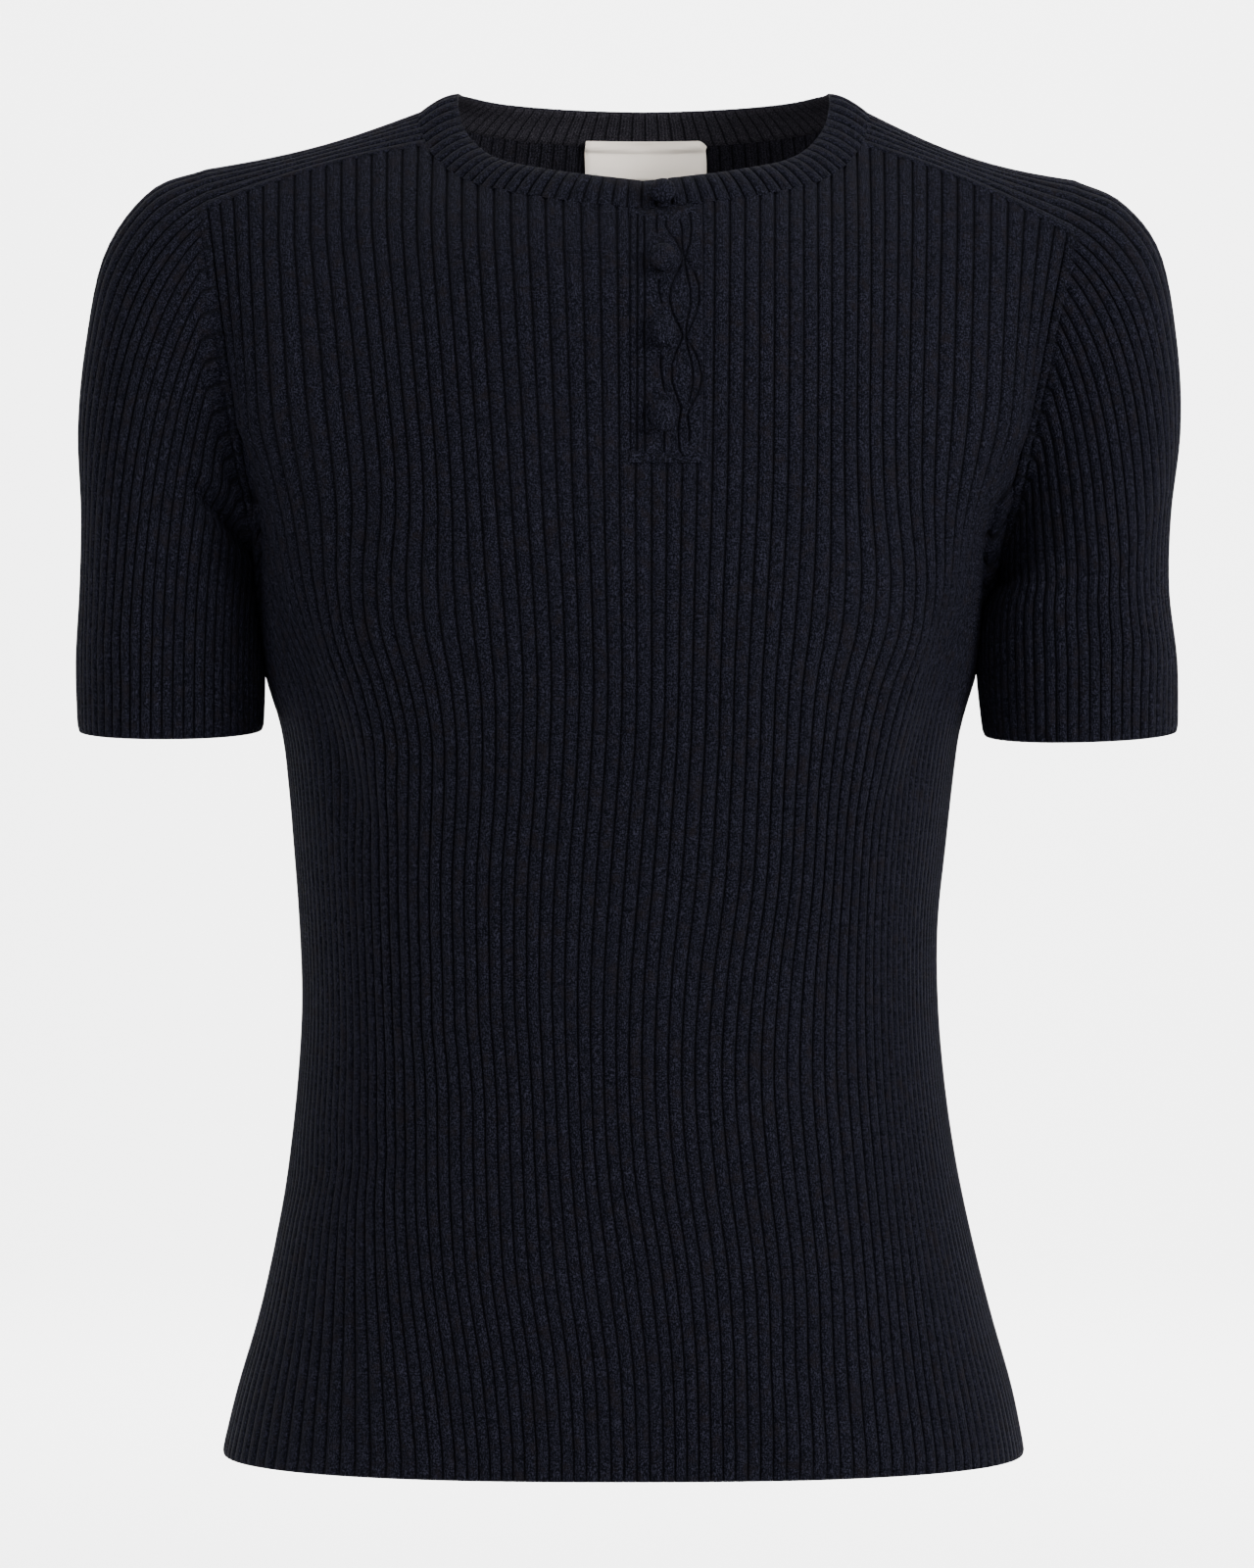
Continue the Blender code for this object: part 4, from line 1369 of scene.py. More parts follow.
@dataclass
class Placket:
    """The cabled strip that the buttons fasten, laid on the middle of the front."""

    name: str
    left: float = -0.0070
    right: float = 0.0248
    bottom: float = -0.1560
    tuck: float = 0.0008
    columns: int = 100
    rows: int = 110
    lift: float = 0.0001
    press: float = 0.0006
    swell: float = 0.0012
    cut_depth: float = 0.0011
    cut_width: float = 0.00055
    strand: float = 0.0062
    groove_end: float = 0.003
    side_ease: float = 0.0011
    under: float = 0.0014
    under_ease: float = 0.0010
    foot: tuple[float, float] = (0.8, 0.0006)
    head: tuple[float, float] = (0.3, 0.0025)
    cloth_reach: float = 0.06
    neck_reach: float = 30.0
    grooves: list[Array] = field(default_factory=lambda: [
        photo_line((-6.0, -48), (-6.2, -100), (-6.0, -154)),
        photo_line((-2.9, -48), (-3.0, -100), (-3.1, -154)),
        photo_line((-0.2, -48), (0.1, -70), (0.0, -100), (0.2, -154)),
        photo_line((5.6, -48), (5.0, -56), (5.8, -62)),
        photo_line((6.3, -76), (5.8, -83), (7.6, -92)),
        photo_line((7.0, -108), (6.6, -116), (7.8, -124), (9.2, -129)),
        photo_line((8.2, -140), (8.0, -154)),
        photo_line((9.3, -50), (8.8, -56), (10.8, -59), (13.0, -62), (15.3, -67), (15.8, -71),
                   (13.3, -77), (11.0, -82), (10.3, -88), (11.8, -94), (14.3, -99),
                   (15.8, -103), (13.3, -109), (11.3, -115), (11.3, -122), (13.3, -128),
                   (15.0, -133), (13.8, -141), (14.3, -150), (17.0, -156)),
        photo_line((17.4, -47), (19.2, -51), (19.6, -57), (19.0, -63), (16.6, -70),
                   (18.0, -72), (20.8, -76), (22.6, -82), (22.6, -89), (20.8, -95),
                   (17.8, -102), (17.0, -104), (18.8, -106), (22.2, -113), (23.8, -120),
                   (22.6, -126), (19.6, -132), (17.6, -136), (18.6, -143), (18.2, -150)),
        photo_line((14.0, -50), (15.8, -57), (15.6, -63), (16.4, -70), (17.6, -77), (19.0, -83),
                   (19.0, -90), (17.6, -97), (16.9, -103), (17.8, -108), (19.6, -115),
                   (20.2, -121), (19.0, -128), (17.4, -134)),
    ])

    def _away(self, x: Array, z: Array) -> Array:
        """Distance of each place on the strip from the nearest groove or side edge.

        Args:
            x: Places across the strip.
            z: Their heights.

        Returns:
            One distance for each.
        """
        away = np.minimum(x - self.left, self.right - x) + np.zeros_like(z)
        for line in self.grooves:
            off = np.abs(x - np.interp(z, line[:, 1], line[:, 0]))
            inside = (smooth((z - line[0, 1]) / self.groove_end)
                      * smooth((line[-1, 1] - z) / self.groove_end))
            away = np.minimum(away, off + (1 - inside) * self.strand)
        return away

    def mask(self, points: Array) -> Array:
        """1 where the strip covers the front and 0 beyond its edges.

        Args:
            points: The front's points.

        Returns:
            One share for each point.
        """
        x, z = points[..., 0], points[..., 2]
        return (smooth((x - self.left) / self.side_ease)
                * smooth((self.right - x) / self.side_ease)
                * smooth((z - self.bottom + self.under) / self.under_ease))

    def build(self, front: Array, neck: NeckForm) -> bpy.types.Object:
        """The finished piece.

        Args:
            front: The front's plain cloth, rows by columns by 3.
            neck: The neck, whose seam the strip starts at.

        Returns:
            The placket, on the front.
        """
        x = np.linspace(self.left, self.right, self.columns + 1)
        seam = neck.points(np.linspace(-self.neck_reach, self.neck_reach, 61))
        top = np.interp(x, seam[:, 0], seam[:, 2]) + self.tuck
        share = np.linspace(0.0, 1.0, self.rows + 1)[:, None]
        z = top + (self.bottom - top) * share
        middle = front[:, np.abs(front[0, :, 0]) < self.cloth_reach]
        heights = np.linspace(self.bottom, top.max(), self.rows + 1)
        deep = np.empty((len(heights), len(x)))
        for i, height in enumerate(heights):
            line = across_cloth(middle, height)
            deep[i] = np.interp(x, line[:, 0], line[:, 1])
        points = np.empty(z.shape + (3,))
        for j, own in enumerate(x):
            points[:, j] = np.stack([np.full(len(z), own), np.interp(z[:, j], heights, deep[:, j]),
                                     z[:, j]], axis=-1)
        normals = grid_normals(points, np.array([0.0, -1.0, 0.0]))
        away = self._away(x[None], z)
        rise = self.swell - self.cut_depth * np.exp(-((away / self.cut_width) ** 2))
        for (left_over, ease), inward in ((self.foot, z - self.bottom), (self.head, top - z)):
            rise = rise * (left_over + (1 - left_over) * smooth(inward / ease))
        plain = points + normals * self.lift
        raised = plain + normals * rise[..., None]
        # The knit's wale places are the distance from the nearest groove or side, so the painted
        # groove shade falls along the cable's grooves and the strip's sides
        grid = Grid(plain, raised, away / self.strand, lengths(points))
        return Weave(self.name).add(grid).build()


@dataclass(frozen=True)
class Button:
    """A domed button covered in the cloth, its cover gathered a little towards the rim."""

    name: str
    z: float
    gap: float
    x: float = 0.0078
    radii: tuple[float, float, float] = (0.0056, 0.0036, 0.0066)
    gathers: int = 9
    gather: float = 0.035
    rim: tuple[float, float] = (-0.15, 0.35)
    crown: float = 1.15
    base: float = 0.75
    twist: float = 1.3

    def build(self, low: Array, high: Array) -> bpy.types.Object:
        """The finished button, tilted with the cloth between two of its points.

        Args:
            low: A point of the cloth under the button's lower edge.
            high: A point under its upper edge.

        Returns:
            The button at its place, its mesh in the garment's own axes.
        """
        bm = bmesh.new()
        bm.loops.layers.uv.new("knit")
        bmesh.ops.create_uvsphere(bm, u_segments=48, v_segments=28, radius=1.0, calc_uvs=False)
        slope = high - low
        tilt = math.atan2(-slope[1], slope[2])
        lift = self.gap + self.radii[1]
        middle = (low + high) / 2
        for vert in bm.verts:
            x, y, z = vert.co
            rim = math.exp(-((z - self.rim[0]) / self.rim[1]) ** 2)
            turn = math.atan2(y, x)
            gathered = 0.5 + 0.5 * math.sin(self.gathers * turn + self.twist * z)
            pull = 1 - self.gather * rim * gathered
            dome = z ** self.crown if z > 0 else z * self.base
            across, up = x * pull * self.radii[0], y * pull * self.radii[2]
            deep = -dome * self.radii[1]
            vert.co = (self.x + across,
                       middle[1] + (deep - lift) * math.cos(tilt) - up * math.sin(tilt),
                       middle[2] + (deep - lift) * math.sin(tilt) + up * math.cos(tilt))
        uv = bm.loops.layers.uv["knit"]
        for face in bm.faces:
            for loop in face.loops:
                loop[uv].uv = (loop.vert.co.x / self.radii[2], loop.vert.co.z)
        bm.normal_update()
        return object_from(bm, self.name)


BUTTONS = tuple(
    Button(f"covered_button_{number}", z, gap) for number, (z, gap) in enumerate(
        ((-0.0420, 0.0016), (-0.0720, 0.0018), (-0.1018, 0.0018), (-0.1368, 0.0018)), start=1))


@dataclass(frozen=True)
class Label:
    """The blank folded label, stitched inside the back neck by its two lower corners."""

    name: str = "neck_label"
    left: float = -0.0262
    right: float = 0.0288
    top: float = -0.0024
    bottom: float = -0.0178
    lift: float = 0.0015
    thick: float = 0.0008
    cut_corner: float = 0.0035
    corner_drop: float = 0.0022
    waver: float = 0.0004
    wavering: float = 9.0
    ripples: float = 1.1
    ripple_start: float = 0.6
    belly: float = 0.0006
    # How far the top stands off the wall where the neckband leans in over it, from which height
    top_lift: float = 0.0035
    top_lift_from: float = -0.0065
    top_lift_over: float = 0.005
    thin_edge: float = 0.35
    edge_columns: float = 3.0
    edge_rows: float = 12
    cloth_rows: int = 14
    cloth_reach: float = 0.05

    def build(self, back: Array) -> bpy.types.Object:
        """The finished label.

        Args:
            back: The back's plain cloth, rows by columns by 3.

        Returns:
            The label, on the back's inner wall.
        """
        t = np.linspace(0.0, 1.0, 25)
        x = self.left + (self.right - self.left) * np.linspace(0.0, 1.0, 57)
        near = back[-self.cloth_rows:, np.abs(back[-1, :, 0]) < self.cloth_reach]
        points = np.empty((len(t), len(x), 3))
        for i, share in enumerate(t):
            height = self.top + (self.bottom - self.top) * share
            line = across_cloth(near, height)
            own = x + self.waver * (1 - share) * np.sin(self.wavering * x / self.right)
            points[i] = np.stack([own, np.interp(own, line[:, 0], line[:, 1]),
                                  np.full(len(x), height)], axis=-1)
        corner = np.clip(1 - (self.right - x) / self.cut_corner, 0.0, 1.0)
        points[..., 2] -= (corner ** 2)[None] * self.corner_drop * (1 - t[:, None]) ** 3
        normals = grid_normals(points, np.array([0.0, -1.0, 0.0]))
        along = (x - self.left) / (self.right - self.left)
        wave = self.waver * np.sin(2 * math.pi * self.ripples * along + self.ripple_start)
        sag = self.lift + (wave[None] + self.belly) * np.sin(math.pi * t[:, None] * 0.5)
        over = smooth((points[..., 2] - self.top_lift_from) / self.top_lift_over)
        sag = sag + self.top_lift * over
        plain = points + normals * sag[..., None]
        edge = np.minimum(np.linspace(0, 1, len(x)), np.linspace(1, 0, len(x))) * len(x)
        full = (np.clip(self.thin_edge + edge / self.edge_columns, 0.0, 1.0)[None]
                * np.clip(self.thin_edge + t[::-1, None] * self.edge_rows, 0, 1))
        raised = plain + normals * (self.thick * full)[..., None]
        return Weave(self.name).add(Grid(plain, raised, x, points[:, 0, 2])).build()


class Shader:
    """Small helpers around one node tree."""

    def __init__(self, tree: bpy.types.NodeTree) -> None:
        """Keeps the tree."""
        self.tree = tree

    def node(self, kind: str, **settings: object) -> bpy.types.Node:
        """A new node with its settings, inputs given by name or number under `inputs`.

        Args:
            kind: The node's type.
            settings: Its properties, and its inputs.

        Returns:
            The node.
        """
        inputs = settings.pop("inputs", {})
        node = self.tree.nodes.new(kind)
        for key, value in settings.items():
            setattr(node, key, value)
        for key, value in inputs.items():
            if isinstance(value, bpy.types.NodeSocket):
                self.tree.links.new(value, node.inputs[key])
            else:
                node.inputs[key].default_value = value
        return node

    def math(self, operation: str, first: object, second: object = 0.0) -> bpy.types.NodeSocket:
        """The result of a Math node.

        Args:
            operation: What it does.
            first: Its first value.
            second: Its second value.

        Returns:
            The result's socket.
        """
        return self.node("ShaderNodeMath", operation=operation,
                         inputs={0: first, 1: second}).outputs[0]

    def ramp(self, value: object, low: float, high: float, start: float = 0.0,
             end: float = 1.0) -> bpy.types.NodeSocket:
        """A value brought smoothly from one range to another.

        Args:
            value: The value.
            low: Where its range starts.
            high: Where it ends.
            start: Where the new range starts.
            end: Where that ends.

        Returns:
            The result's socket.
        """
        return self.node("ShaderNodeMapRange", interpolation_type="SMOOTHSTEP", inputs={
            0: value, 1: low, 2: high, 3: start, 4: end}).outputs[0]

    def blend(self, share: object, first: object, second: object) -> bpy.types.NodeSocket:
        """Two colours mixed by a share.

        Args:
            share: The second colour's share.
            first: The first colour.
            second: The second colour.

        Returns:
            The result's socket.
        """
        node = self.node("ShaderNodeMix", data_type="RGBA")
        for index, value in ((0, share), (6, first), (7, second)):
            if isinstance(value, bpy.types.NodeSocket):
                self.tree.links.new(value, node.inputs[index])
            else:
                node.inputs[index].default_value = value
        return node.outputs[2]


def new_surface(name: str, inputs: dict[str, object]) -> tuple[
        bpy.types.Material, Shader, bpy.types.Node]:
    """A new material.

    Args:
        name: The material's name.
        inputs: Constant values of its surface shader, by the sockets' names.

    Returns:
        The material, a helper around its nodes and its surface shader.
    """
    material = bpy.data.materials.new(name)
    material.use_nodes = True
    surface = material.node_tree.nodes["Principled BSDF"]
    for socket, value in inputs.items():
        surface.inputs[socket].default_value = value
    return material, Shader(material.node_tree), surface


@dataclass(frozen=True)
class Yarn:
    """The melange yarn's colours, linear, with painted shade and light, and the gauge of its
    stitches.
    """

    base: Colour = (0.0004, 0.0005, 0.0012, 1.0)
    light: Colour = (0.0070, 0.0070, 0.0118, 1.0)
    warm: Colour = (0.0030, 0.0023, 0.0028, 1.0)
    # Painted shade: the grooves between ribs and the gaps between stitches are shaded towards this
    # colour
    groove: Colour = (0.0009, 0.0009, 0.0014, 1.0)
    # The inner side's own pale tone, made brighter as painted light for the lit inside of the
    # neckband
    reverse: Colour = (0.0240, 0.0222, 0.0275, 1.0)
    sheen_tint: Colour = (0.46, 0.46, 0.56, 1.0)
    sheen: float = 0.0034
    stitches: float = 4.0
    course: float = 0.0015
    fibre: float = 1700.0
    patch: float = 160.0
    groove_shade_width: tuple[float, float] = (0.02, 0.17)
    flecks: tuple[float, float] = (0.48, 0.62)
    # The flecks that mix in the inner side's pale colour with painted light, and their least share
    reverse_flecks: tuple[float, float] = (0.44, 0.62)
    patches: tuple[float, float] = (0.50, 0.72)
    patch_share: float = 0.55
    pale_and_lit_start: float = 0.30
    # How a strand's side and a loop's tooth are shaped, in shares of their widths, for the
    # stitches' bump and their painted shade
    strand_edge: tuple[float, float] = (0.02, 0.32)
    tooth_edge: tuple[float, float, float, float] = (0.0, 0.35, 0.45, 1.0)
    tooth_slant: float = 1.5
    stitch_painted_shade: tuple[float, float, float, float] = (0.0, 0.6, 0.30, 0.0)
    stitch_height: float = 0.8
    fleck_height: float = 0.35
    roughness: float = 0.86
    specular: float = 0.02
    sheen_roughness: float = 0.45
    bump: float = 0.55
    bump_depth: float = 0.0005


YARN = Yarn()


def knit_group() -> bpy.types.NodeTree:
    """The node group that gives the knit's colour and height from its own UV map.

    Returns:
        The group.
    """
    group = bpy.data.node_groups.new("rib_knit_yarn", "ShaderNodeTree")
    sockets = group.interface
    sockets.new_socket("Painted groove shade", in_out="INPUT", socket_type="NodeSocketFloat")
    sockets.new_socket("Reverse", in_out="INPUT", socket_type="NodeSocketFloat")
    sockets.new_socket("Colour", in_out="OUTPUT", socket_type="NodeSocketColor")
    sockets.new_socket("Height", in_out="OUTPUT", socket_type="NodeSocketFloat")
    shader = Shader(group)
    # The group's inputs: the weight of the painted shade, and the share of the inner side's pale
    # colour with painted light
    given, reverse = shader.node("NodeGroupInput").outputs[:2]
    uv = shader.node("ShaderNodeUVMap", uv_map="knit").outputs[0]
    place = shader.node("ShaderNodeSeparateXYZ", inputs={0: uv})
    wale, course = place.outputs[0], place.outputs[1]
    off = shader.math("PINGPONG", wale, 0.5)
    # Where the painted groove shade falls: near each whole wale
    painted_groove_shade = shader.ramp(off, *YARN.groove_shade_width, 1.0, 0.0)
    strand = shader.math("PINGPONG", shader.math("MULTIPLY", wale, YARN.stitches), 0.5)
    loop = shader.math("ADD", shader.math("DIVIDE", course, YARN.course),
                       shader.math("MULTIPLY", strand, YARN.tooth_slant))
    tooth = shader.math("PINGPONG", loop, 0.5)
    stitch = shader.math("MULTIPLY", shader.ramp(strand, *YARN.strand_edge),
                         shader.ramp(tooth, *YARN.tooth_edge))
    spot = shader.node("ShaderNodeTexCoord").outputs["Object"]
    fleck = shader.node("ShaderNodeTexNoise", inputs={
        "Vector": spot, "Scale": YARN.fibre, "Detail": 2.0, "Roughness": 0.6}).outputs[0]
    cloud = shader.node("ShaderNodeTexNoise", inputs={
        "Vector": spot, "Scale": YARN.patch, "Detail": 3.0, "Roughness": 0.55}).outputs[0]
    colour = shader.blend(shader.ramp(fleck, *YARN.flecks), YARN.base, YARN.light)
    patches = shader.math("MULTIPLY", shader.ramp(cloud, *YARN.patches), YARN.patch_share)
    colour = shader.blend(patches, colour, YARN.warm)
    # The inner side's own pale tone with painted light, mixed in through the flecks
    pale_and_lit_share = shader.ramp(fleck, *YARN.reverse_flecks, YARN.pale_and_lit_start, 1.0)
    colour = shader.blend(shader.math("MULTIPLY", reverse, pale_and_lit_share), colour, YARN.reverse)
    # Painted shade: the gaps between stitches, then the grooves between ribs, shaded towards the
    # groove colour
    shade = shader.ramp(stitch, *YARN.stitch_painted_shade)
    colour = shader.blend(shader.math("MULTIPLY", shade, given), colour, YARN.groove)
    colour = shader.blend(shader.math("MULTIPLY", painted_groove_shade, given), colour, YARN.groove)
    height = shader.math("ADD", shader.math("MULTIPLY", stitch, YARN.stitch_height),
                         shader.math("MULTIPLY", fleck, YARN.fleck_height))
    shader.node("NodeGroupOutput", inputs={0: colour, 1: height})
    return group


def knit_material(name: str, group: bpy.types.NodeTree, groove: float,
                  reverse: float = 0.0) -> bpy.types.Material:
    """The knit on one kind of piece.

    Args:
        name: The material's name.
        group: The shared knit group.
        groove: How much painted shade falls in the grooves between ribs and the gaps between
            stitches, 0 to 1.
        reverse: 1 for the inner side's own pale tone brightened with painted light, 0 for its
            face.

    Returns:
        The material.
    """
    material, shader, surface = new_surface(name, {
        "Roughness": YARN.roughness, "Specular IOR Level": YARN.specular,
        "Sheen Weight": YARN.sheen, "Sheen Roughness": YARN.sheen_roughness,
        "Sheen Tint": YARN.sheen_tint})
    knit = shader.node("ShaderNodeGroup", node_tree=group, inputs={0: groove, 1: reverse})
    bump = shader.node("ShaderNodeBump", inputs={
        "Strength": YARN.bump, "Distance": YARN.bump_depth, "Height": knit.outputs[1]})
    shader.tree.links.new(knit.outputs[0], surface.inputs["Base Color"])
    shader.tree.links.new(bump.outputs[0], surface.inputs["Normal"])
    return material


@dataclass(frozen=True)
class Ribbon:
    """The label's finish: linear colours, its weave, and its tacks in metres."""

    cream: Colour = (0.90, 0.81, 0.71, 1.0)
    shade: Colour = (0.78, 0.70, 0.60, 1.0)
    thread: Colour = (0.16, 0.20, 0.20, 1.0)
    weft: float = 900.0
    weft_waver: float = 0.6
    weft_share: float = 0.10
    # The tacks: from and to how far inside the sides, and from and to how far above the bottom
    tack_inside: tuple[float, float] = (0.0062, 0.0050)
    tack_above: tuple[float, float] = (0.0008, 0.0022)
    stitches: float = 1400.0
    stitch_edge: tuple[float, float, float, float] = (0.05, 0.3, 0.45, 0.85)
    roughness: float = 0.62
    sheen: float = 0.12
    bump: float = 0.25
    bump_depth: float = 0.0002


RIBBON = Ribbon()


def label_material(label: Label) -> bpy.types.Material:
    """The cream label's fine ribbon weave, with the small tacks at its lower corners.

    Args:
        label: The label, for its corners.

    Returns:
        The material.
    """
    material, shader, surface = new_surface("label_ribbon", {
        "Roughness": RIBBON.roughness, "Sheen Weight": RIBBON.sheen})
    spot = shader.node("ShaderNodeTexCoord").outputs["Object"]
    place = shader.node("ShaderNodeSeparateXYZ", inputs={0: spot})
    x, z = place.outputs[0], place.outputs[2]
    middle, reach = (label.left + label.right) / 2, (label.right - label.left) / 2
    side = shader.math("ABSOLUTE", shader.math("SUBTRACT", x, middle))
    sides = [reach - inside for inside in RIBBON.tack_inside]
    heights = [label.bottom + above for above in RIBBON.tack_above]
    corner = shader.math("MULTIPLY", shader.ramp(side, *sides),
                         shader.ramp(z, *heights, 1.0, 0.0))
    stitch = shader.math("PINGPONG", shader.math("MULTIPLY", x, RIBBON.stitches), 0.5)
    thread = shader.math("MULTIPLY", corner, shader.ramp(stitch, *RIBBON.stitch_edge))
    weft = shader.node("ShaderNodeTexWave", wave_type="BANDS", bands_direction="Z", inputs={
        "Vector": spot, "Scale": RIBBON.weft, "Distortion": RIBBON.weft_waver}).outputs[1]
    colour = shader.blend(shader.math("MULTIPLY", weft, RIBBON.weft_share), RIBBON.cream,
                          RIBBON.shade)
    colour = shader.blend(thread, colour, RIBBON.thread)
    bump = shader.node("ShaderNodeBump", inputs={
        "Strength": RIBBON.bump, "Distance": RIBBON.bump_depth, "Height": weft})
    shader.tree.links.new(colour, surface.inputs["Base Color"])
    shader.tree.links.new(bump.outputs[0], surface.inputs["Normal"])
    return material


@dataclass(frozen=True)
class CutSize:
    """A piece's flat cut in metres, before it was filled out."""

    width: float
    length: float
    area: float | None = None


class Sweater:
    """The whole garment: its forms, its pieces and what each stands for in the frame."""

    cuts = {
        "knit_front": CutSize(0.470, 0.575, 0.240),
        "knit_back": CutSize(0.470, 0.580, 0.240),
        "knit_sleeve_left": CutSize(0.275, 0.330, 0.060),
        "knit_sleeve_right": CutSize(0.275, 0.330, 0.060),
        "knit_neckband": CutSize(0.530, 0.022),
        "cable_placket": CutSize(0.035, 0.108),
        "neck_label": CutSize(0.055, 0.018),
    }

    # How much painted shade falls in each finish's grooves, and its share of the inner side's
    # colour
    finishes = {
        # The inner side: its own pale tone with painted light, full for the lit inside of the
        # neckband and less for the shaded insides of the other pieces
        "rib_knit_reverse": (0.8, 0.35),
        "rib_knit_band_reverse": (0.7, 1.0),
        "rib_knit_body": (0.7, 0.0),
        "rib_knit_sleeves": (0.7, 0.0),
        "rib_knit_neckband": (0.6, 0.0),
        "cable_knit_placket": (0.55, 0.0),
        "button_cover_knit": (0.0, 0.0),
    }
    # The top button: its angle on the neckband, and its drop as a share of the band's height
    top_button = (5.0, 0.2)

    def __init__(self) -> None:
        """Makes the forms and the finishes that the pieces share."""
        self.neck = NeckForm()
        self.shoulders = {side: ShoulderForm(side, self.neck) for side in Side}
        yarn = knit_group()
        self.knits = {name: knit_material(name, yarn, *shares)
                      for name, shares in self.finishes.items()}
        self.pieces: list[bpy.types.Object] = []

    def _fit(self, piece: bpy.types.Object, node: str, material: bpy.types.Material) -> None:
        """Gives a piece its material and its place in the frame.

        Args:
            piece: The piece.
            node: The solid that it stands for.
            material: Its material.
        """
        piece.data.materials.append(material)
        if piece.name.startswith("knit"):
            # Inner walls: a lit copy of the inner side's painted light inside the neckband, a
            # shaded copy inside the other pieces
            inside = "rib_knit_band_reverse" if node == "neckband" else "rib_knit_reverse"
            piece.data.materials.append(self.knits[inside])
        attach(piece, "root")
        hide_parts(node)
        self.pieces.append(piece)

    def build(self) -> None:
        """Builds every piece."""
        front = Panel("knit_front", PanelForm(Face.FRONT, self.neck, self.shoulders),
                      FRONT_FOLDS)
        back = Panel("knit_back", PanelForm(Face.BACK, self.neck, self.shoulders), BACK_FOLDS)
        placket = Placket("cable_placket")
        front_cloth, back_cloth = front.surface()[0], back.surface()[0]
        self._fit(front.build(placket), "front", self.knits["rib_knit_body"])
        self._fit(back.build(), "back", self.knits["rib_knit_body"])
        for name, side, node in (("knit_sleeve_left", Side.LEFT, "sleeve_left"),
                                 ("knit_sleeve_right", Side.RIGHT, "sleeve_right")):
            sleeve = Sleeve(name, self.shoulders[side], SLEEVE_FOLDS[side])
            self._fit(sleeve.build(), node, self.knits["rib_knit_sleeves"])
        band = Neckband("knit_neckband", self.neck).build()
        self._fit(band, "neckband", self.knits["rib_knit_neckband"])
        strip = placket.build(front_cloth, self.neck)
        self._fit(strip, "placket", self.knits["cable_knit_placket"])
        self._buttons(front_cloth, self.knits["button_cover_knit"])
        label = Label()
        self._fit(label.build(back_cloth), "label", label_material(label))

    def _buttons(self, front: Array, material: bpy.types.Material) -> None:
        """The top button on the neckband and the others on the placket.

        Args:
            front: The front's plain cloth.
            material: The cover's material.
        """
        column = front[:, np.argmin(np.abs(front[len(front) // 2, :, 0] - BUTTONS[0].x))]
        for number, button in enumerate(BUTTONS, start=1):
            if number == 1:
                angle, drop = self.top_button
                seam, edge = self.neck.points(angle)[0], self.neck.points(angle, edge=True)[0]
                low, high = seam + (seam - edge) * drop, edge + (seam - edge) * drop
            else:
                ends = (button.z - button.radii[2], button.z + button.radii[2])
                low, high = (np.array([button.x, np.interp(z, column[:, 2], column[:, 1]), z])
                             for z in ends)
            self._fit(button.build(low, high), f"button_{number}", material)


FRONT_FOLDS = (
    Fold((-0.150, -0.225), (-0.118, -0.300), -0.0030, 0.0080),
    Fold((-0.136, -0.232), (-0.100, -0.300), 0.0022, 0.0100),
    Fold((0.132, -0.222), (0.108, -0.290), -0.0026, 0.0080),
    Fold((0.118, -0.230), (0.094, -0.292), 0.0018, 0.0100),
    Fold((-0.095, -0.395), (-0.030, -0.372), 0.0016, 0.0120),
    Fold((-0.080, -0.425), (0.000, -0.412), -0.0014, 0.0110),
    Fold((0.020, -0.560), (0.070, -0.520), -0.0014, 0.0120),
    Fold((0.015, -0.520), (0.080, -0.575), 0.0016, 0.0130),
    Fold((-0.170, -0.470), (-0.095, -0.440), -0.0018, 0.0120),
)
BACK_FOLDS = (
    Fold((-0.146, -0.228), (-0.108, -0.310), -0.0030, 0.0085, Face.BACK),
    Fold((-0.130, -0.236), (-0.090, -0.310), 0.0022, 0.0110, Face.BACK),
    Fold((0.130, -0.224), (0.100, -0.300), -0.0028, 0.0085, Face.BACK),
    Fold((-0.070, -0.395), (0.050, -0.380), -0.0022, 0.0140, Face.BACK),
    Fold((-0.050, -0.430), (0.070, -0.440), 0.0018, 0.0150, Face.BACK),
    Fold((-0.120, -0.520), (-0.070, -0.565), 0.0016, 0.0130, Face.BACK),
)
SLEEVE_FOLDS = {
    Side.LEFT: (
        Fold((-0.1913, -0.1603), (-0.1650, -0.1930), -0.0046, 0.0032),
        Fold((-0.1850, -0.1530), (-0.1630, -0.1840), 0.0024, 0.0060),
        Fold((-0.1960, -0.1720), (-0.2050, -0.2300), -0.0014, 0.0090),
        Fold((-0.186, -0.165), (-0.226, -0.235), 0.0016, 0.0110),
        Fold((-0.176, -0.140), (-0.214, -0.225), -0.0024, 0.0100, Face.BACK),
    ),
    Side.RIGHT: (
        Fold((0.1700, -0.1430), (0.1490, -0.1890), -0.0016, 0.0060),
        Fold((0.1640, -0.1360), (0.1480, -0.1780), 0.0012, 0.0080),
        Fold((0.1790, -0.1650), (0.1900, -0.2300), -0.0014, 0.0090),
        Fold((0.178, -0.165), (0.214, -0.238), 0.0016, 0.0110),
        Fold((0.168, -0.138), (0.204, -0.226), -0.0024, 0.0100, Face.BACK),
    ),
}


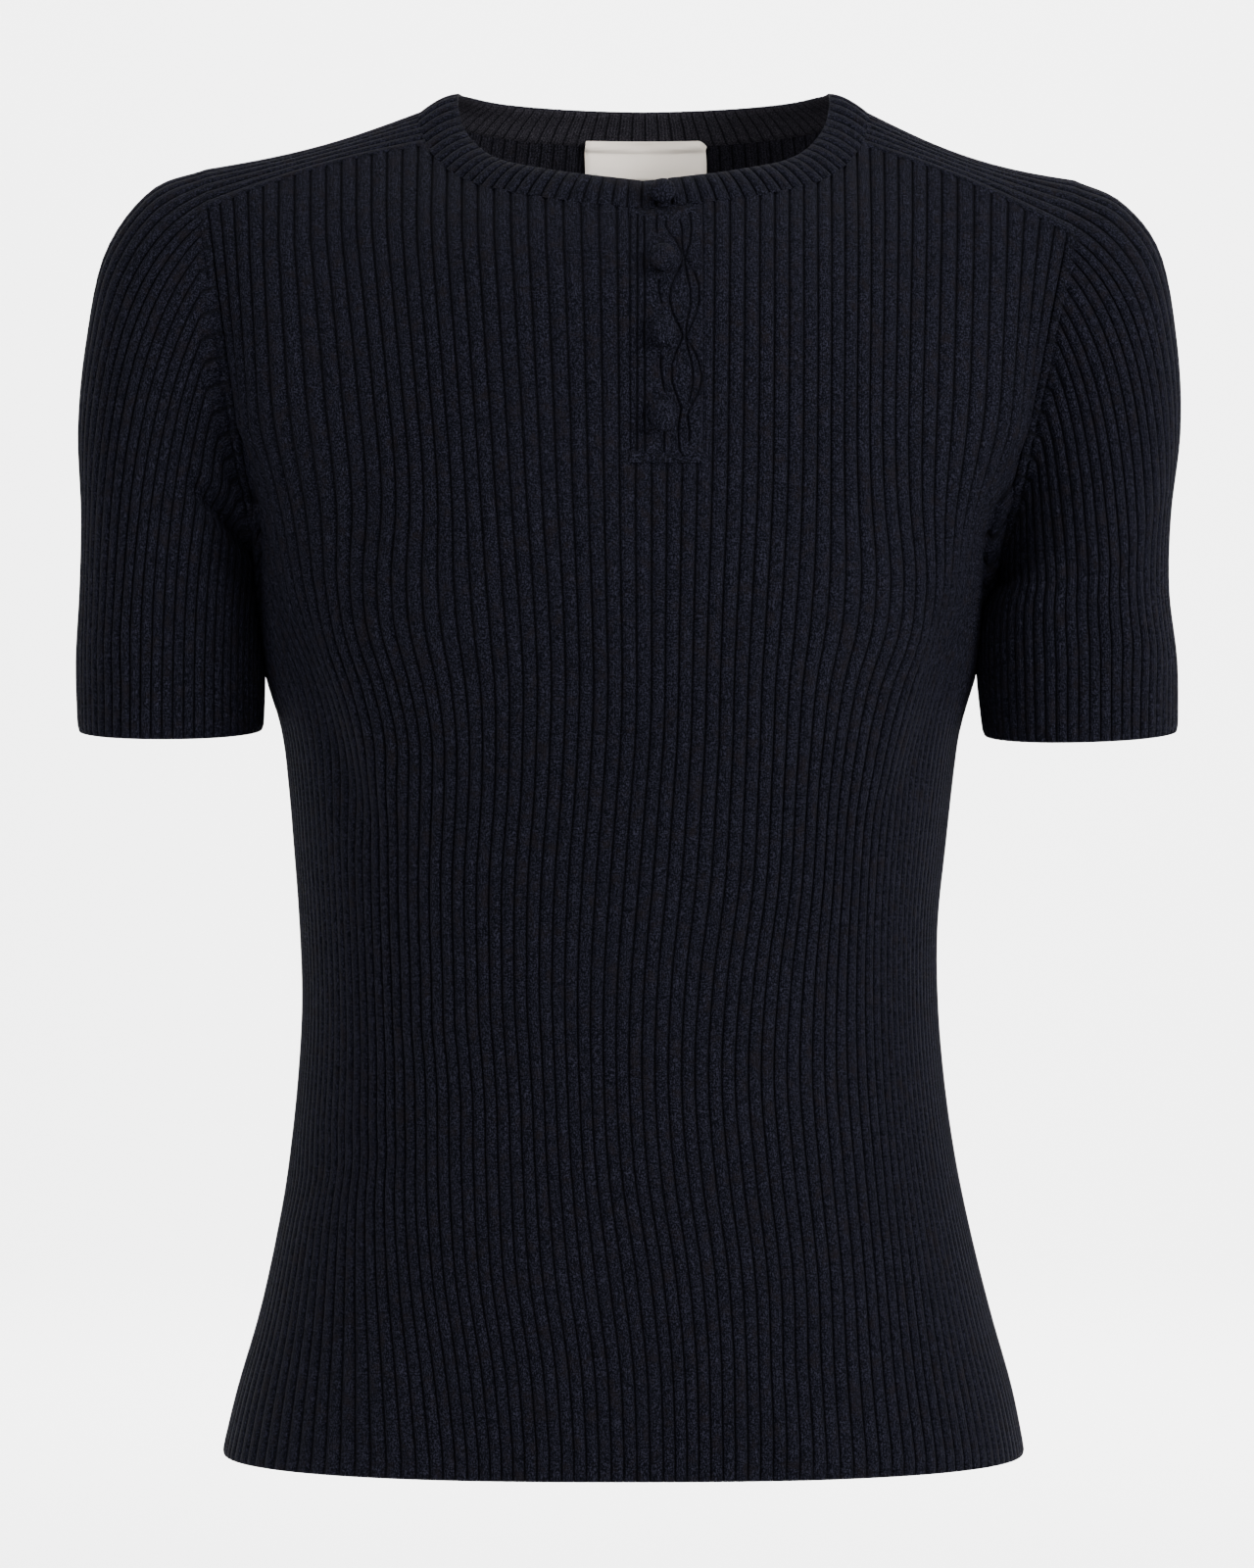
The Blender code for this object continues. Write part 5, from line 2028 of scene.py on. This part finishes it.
@dataclass(frozen=True)
class Softbox:
    """One square soft light: where it stands, what it is turned to, its side and its watts."""

    name: str
    place: tuple[float, float, float]
    aim: tuple[float, float, float]
    size: float
    power: float

    def build(self) -> None:
        """Hangs the light."""
        data = bpy.data.lights.new(self.name, "AREA")
        data.size, data.energy = self.size, self.power
        light = bpy.data.objects.new(self.name, data)
        bpy.context.scene.collection.objects.link(light)
        light.location = self.place
        way = light.location - Vector(self.aim)
        light.rotation_euler = way.to_track_quat("Z", "Y").to_euler()


SOFTBOXES = (
    Softbox("key_softbox", (1.9, -1.5, 0.65), (0, 0, -0.28), 1.1, 170.0),
    Softbox("fill_softbox", (-2.0, -1.4, 0.45), (0, 0, -0.28), 1.4, 58.0),
    Softbox("top_softbox", (0.0, -0.6, 1.9), (0, 0, -0.1), 1.6, 48.0),
    Softbox("back_softbox", (0.2, 1.5, 1.9), (0, 3.8, -0.3), 2.0, 330.0),
)


class Studio:
    """The pale floor and backdrop, the soft lights and the camera."""

    sensor = 36.0
    paint = (0.93, 0.93, 0.93, 1.0)
    floor_z = -0.74
    reach = 4.2
    sweep = 1.2
    half_width = 6.0
    room_light = 1.72
    # Shares of the strip: up to where it lies flat, and from where it stands
    flat_to = 0.45
    upright_from = 0.7

    def _backdrop(self) -> None:
        """A pale floor that curves up behind the garment, swept from a straight strip."""
        bm = bmesh.new()
        made = bmesh.ops.create_grid(bm, x_segments=1, y_segments=40, size=1.0)["verts"]
        for vert in made:
            along = (vert.co.y + 1) / 2
            bent = (along - self.flat_to) / (self.upright_from - self.flat_to)
            turn = math.pi / 2 * float(smooth(bent))
            flat = min(along, self.flat_to) / self.flat_to * (2 * self.reach - self.sweep)
            y = flat - self.reach + self.sweep * math.sin(turn)
            upright = max(0.0, along - self.upright_from) / (1 - self.upright_from)
            rise = self.sweep * (1 - math.cos(turn)) + upright * self.reach
            vert.co = (vert.co.x * self.half_width, y, self.floor_z + rise)
        floor = object_from(bm, "pale_floor")
        material, _, _ = new_surface("pale_paint", {
            "Base Color": self.paint, "Roughness": 0.95, "Specular IOR Level": 0.1})
        floor.data.materials.append(material)

    def build(self) -> None:
        """Sets up the stage."""
        self._backdrop()
        for softbox in SOFTBOXES:
            softbox.build()
        world = bpy.data.worlds.new("soft_room")
        world.use_nodes = True
        background = world.node_tree.nodes["Background"]
        background.inputs[0].default_value = (1.0, 1.0, 1.0, 1.0)
        background.inputs[1].default_value = self.room_light
        bpy.context.scene.world = world
        data = bpy.data.cameras.new("front_camera")
        data.sensor_fit, data.sensor_height = "VERTICAL", self.sensor
        data.lens = self.sensor * VIEW.distance / VIEW.frame_height
        camera = bpy.data.objects.new("front_camera", data)
        camera.location = (VIEW.x, -VIEW.distance, VIEW.z)
        camera.rotation_euler = (math.pi / 2, 0.0, 0.0)
        bpy.context.scene.collection.objects.link(camera)
        bpy.context.scene.camera = camera


def main() -> None:
    """Builds the sweater and its stage."""
    logging.basicConfig(level=logging.INFO, format="%(message)s")
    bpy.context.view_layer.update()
    Sweater().build()
    Studio().build()


if __name__ == "__main__":
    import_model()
    main()
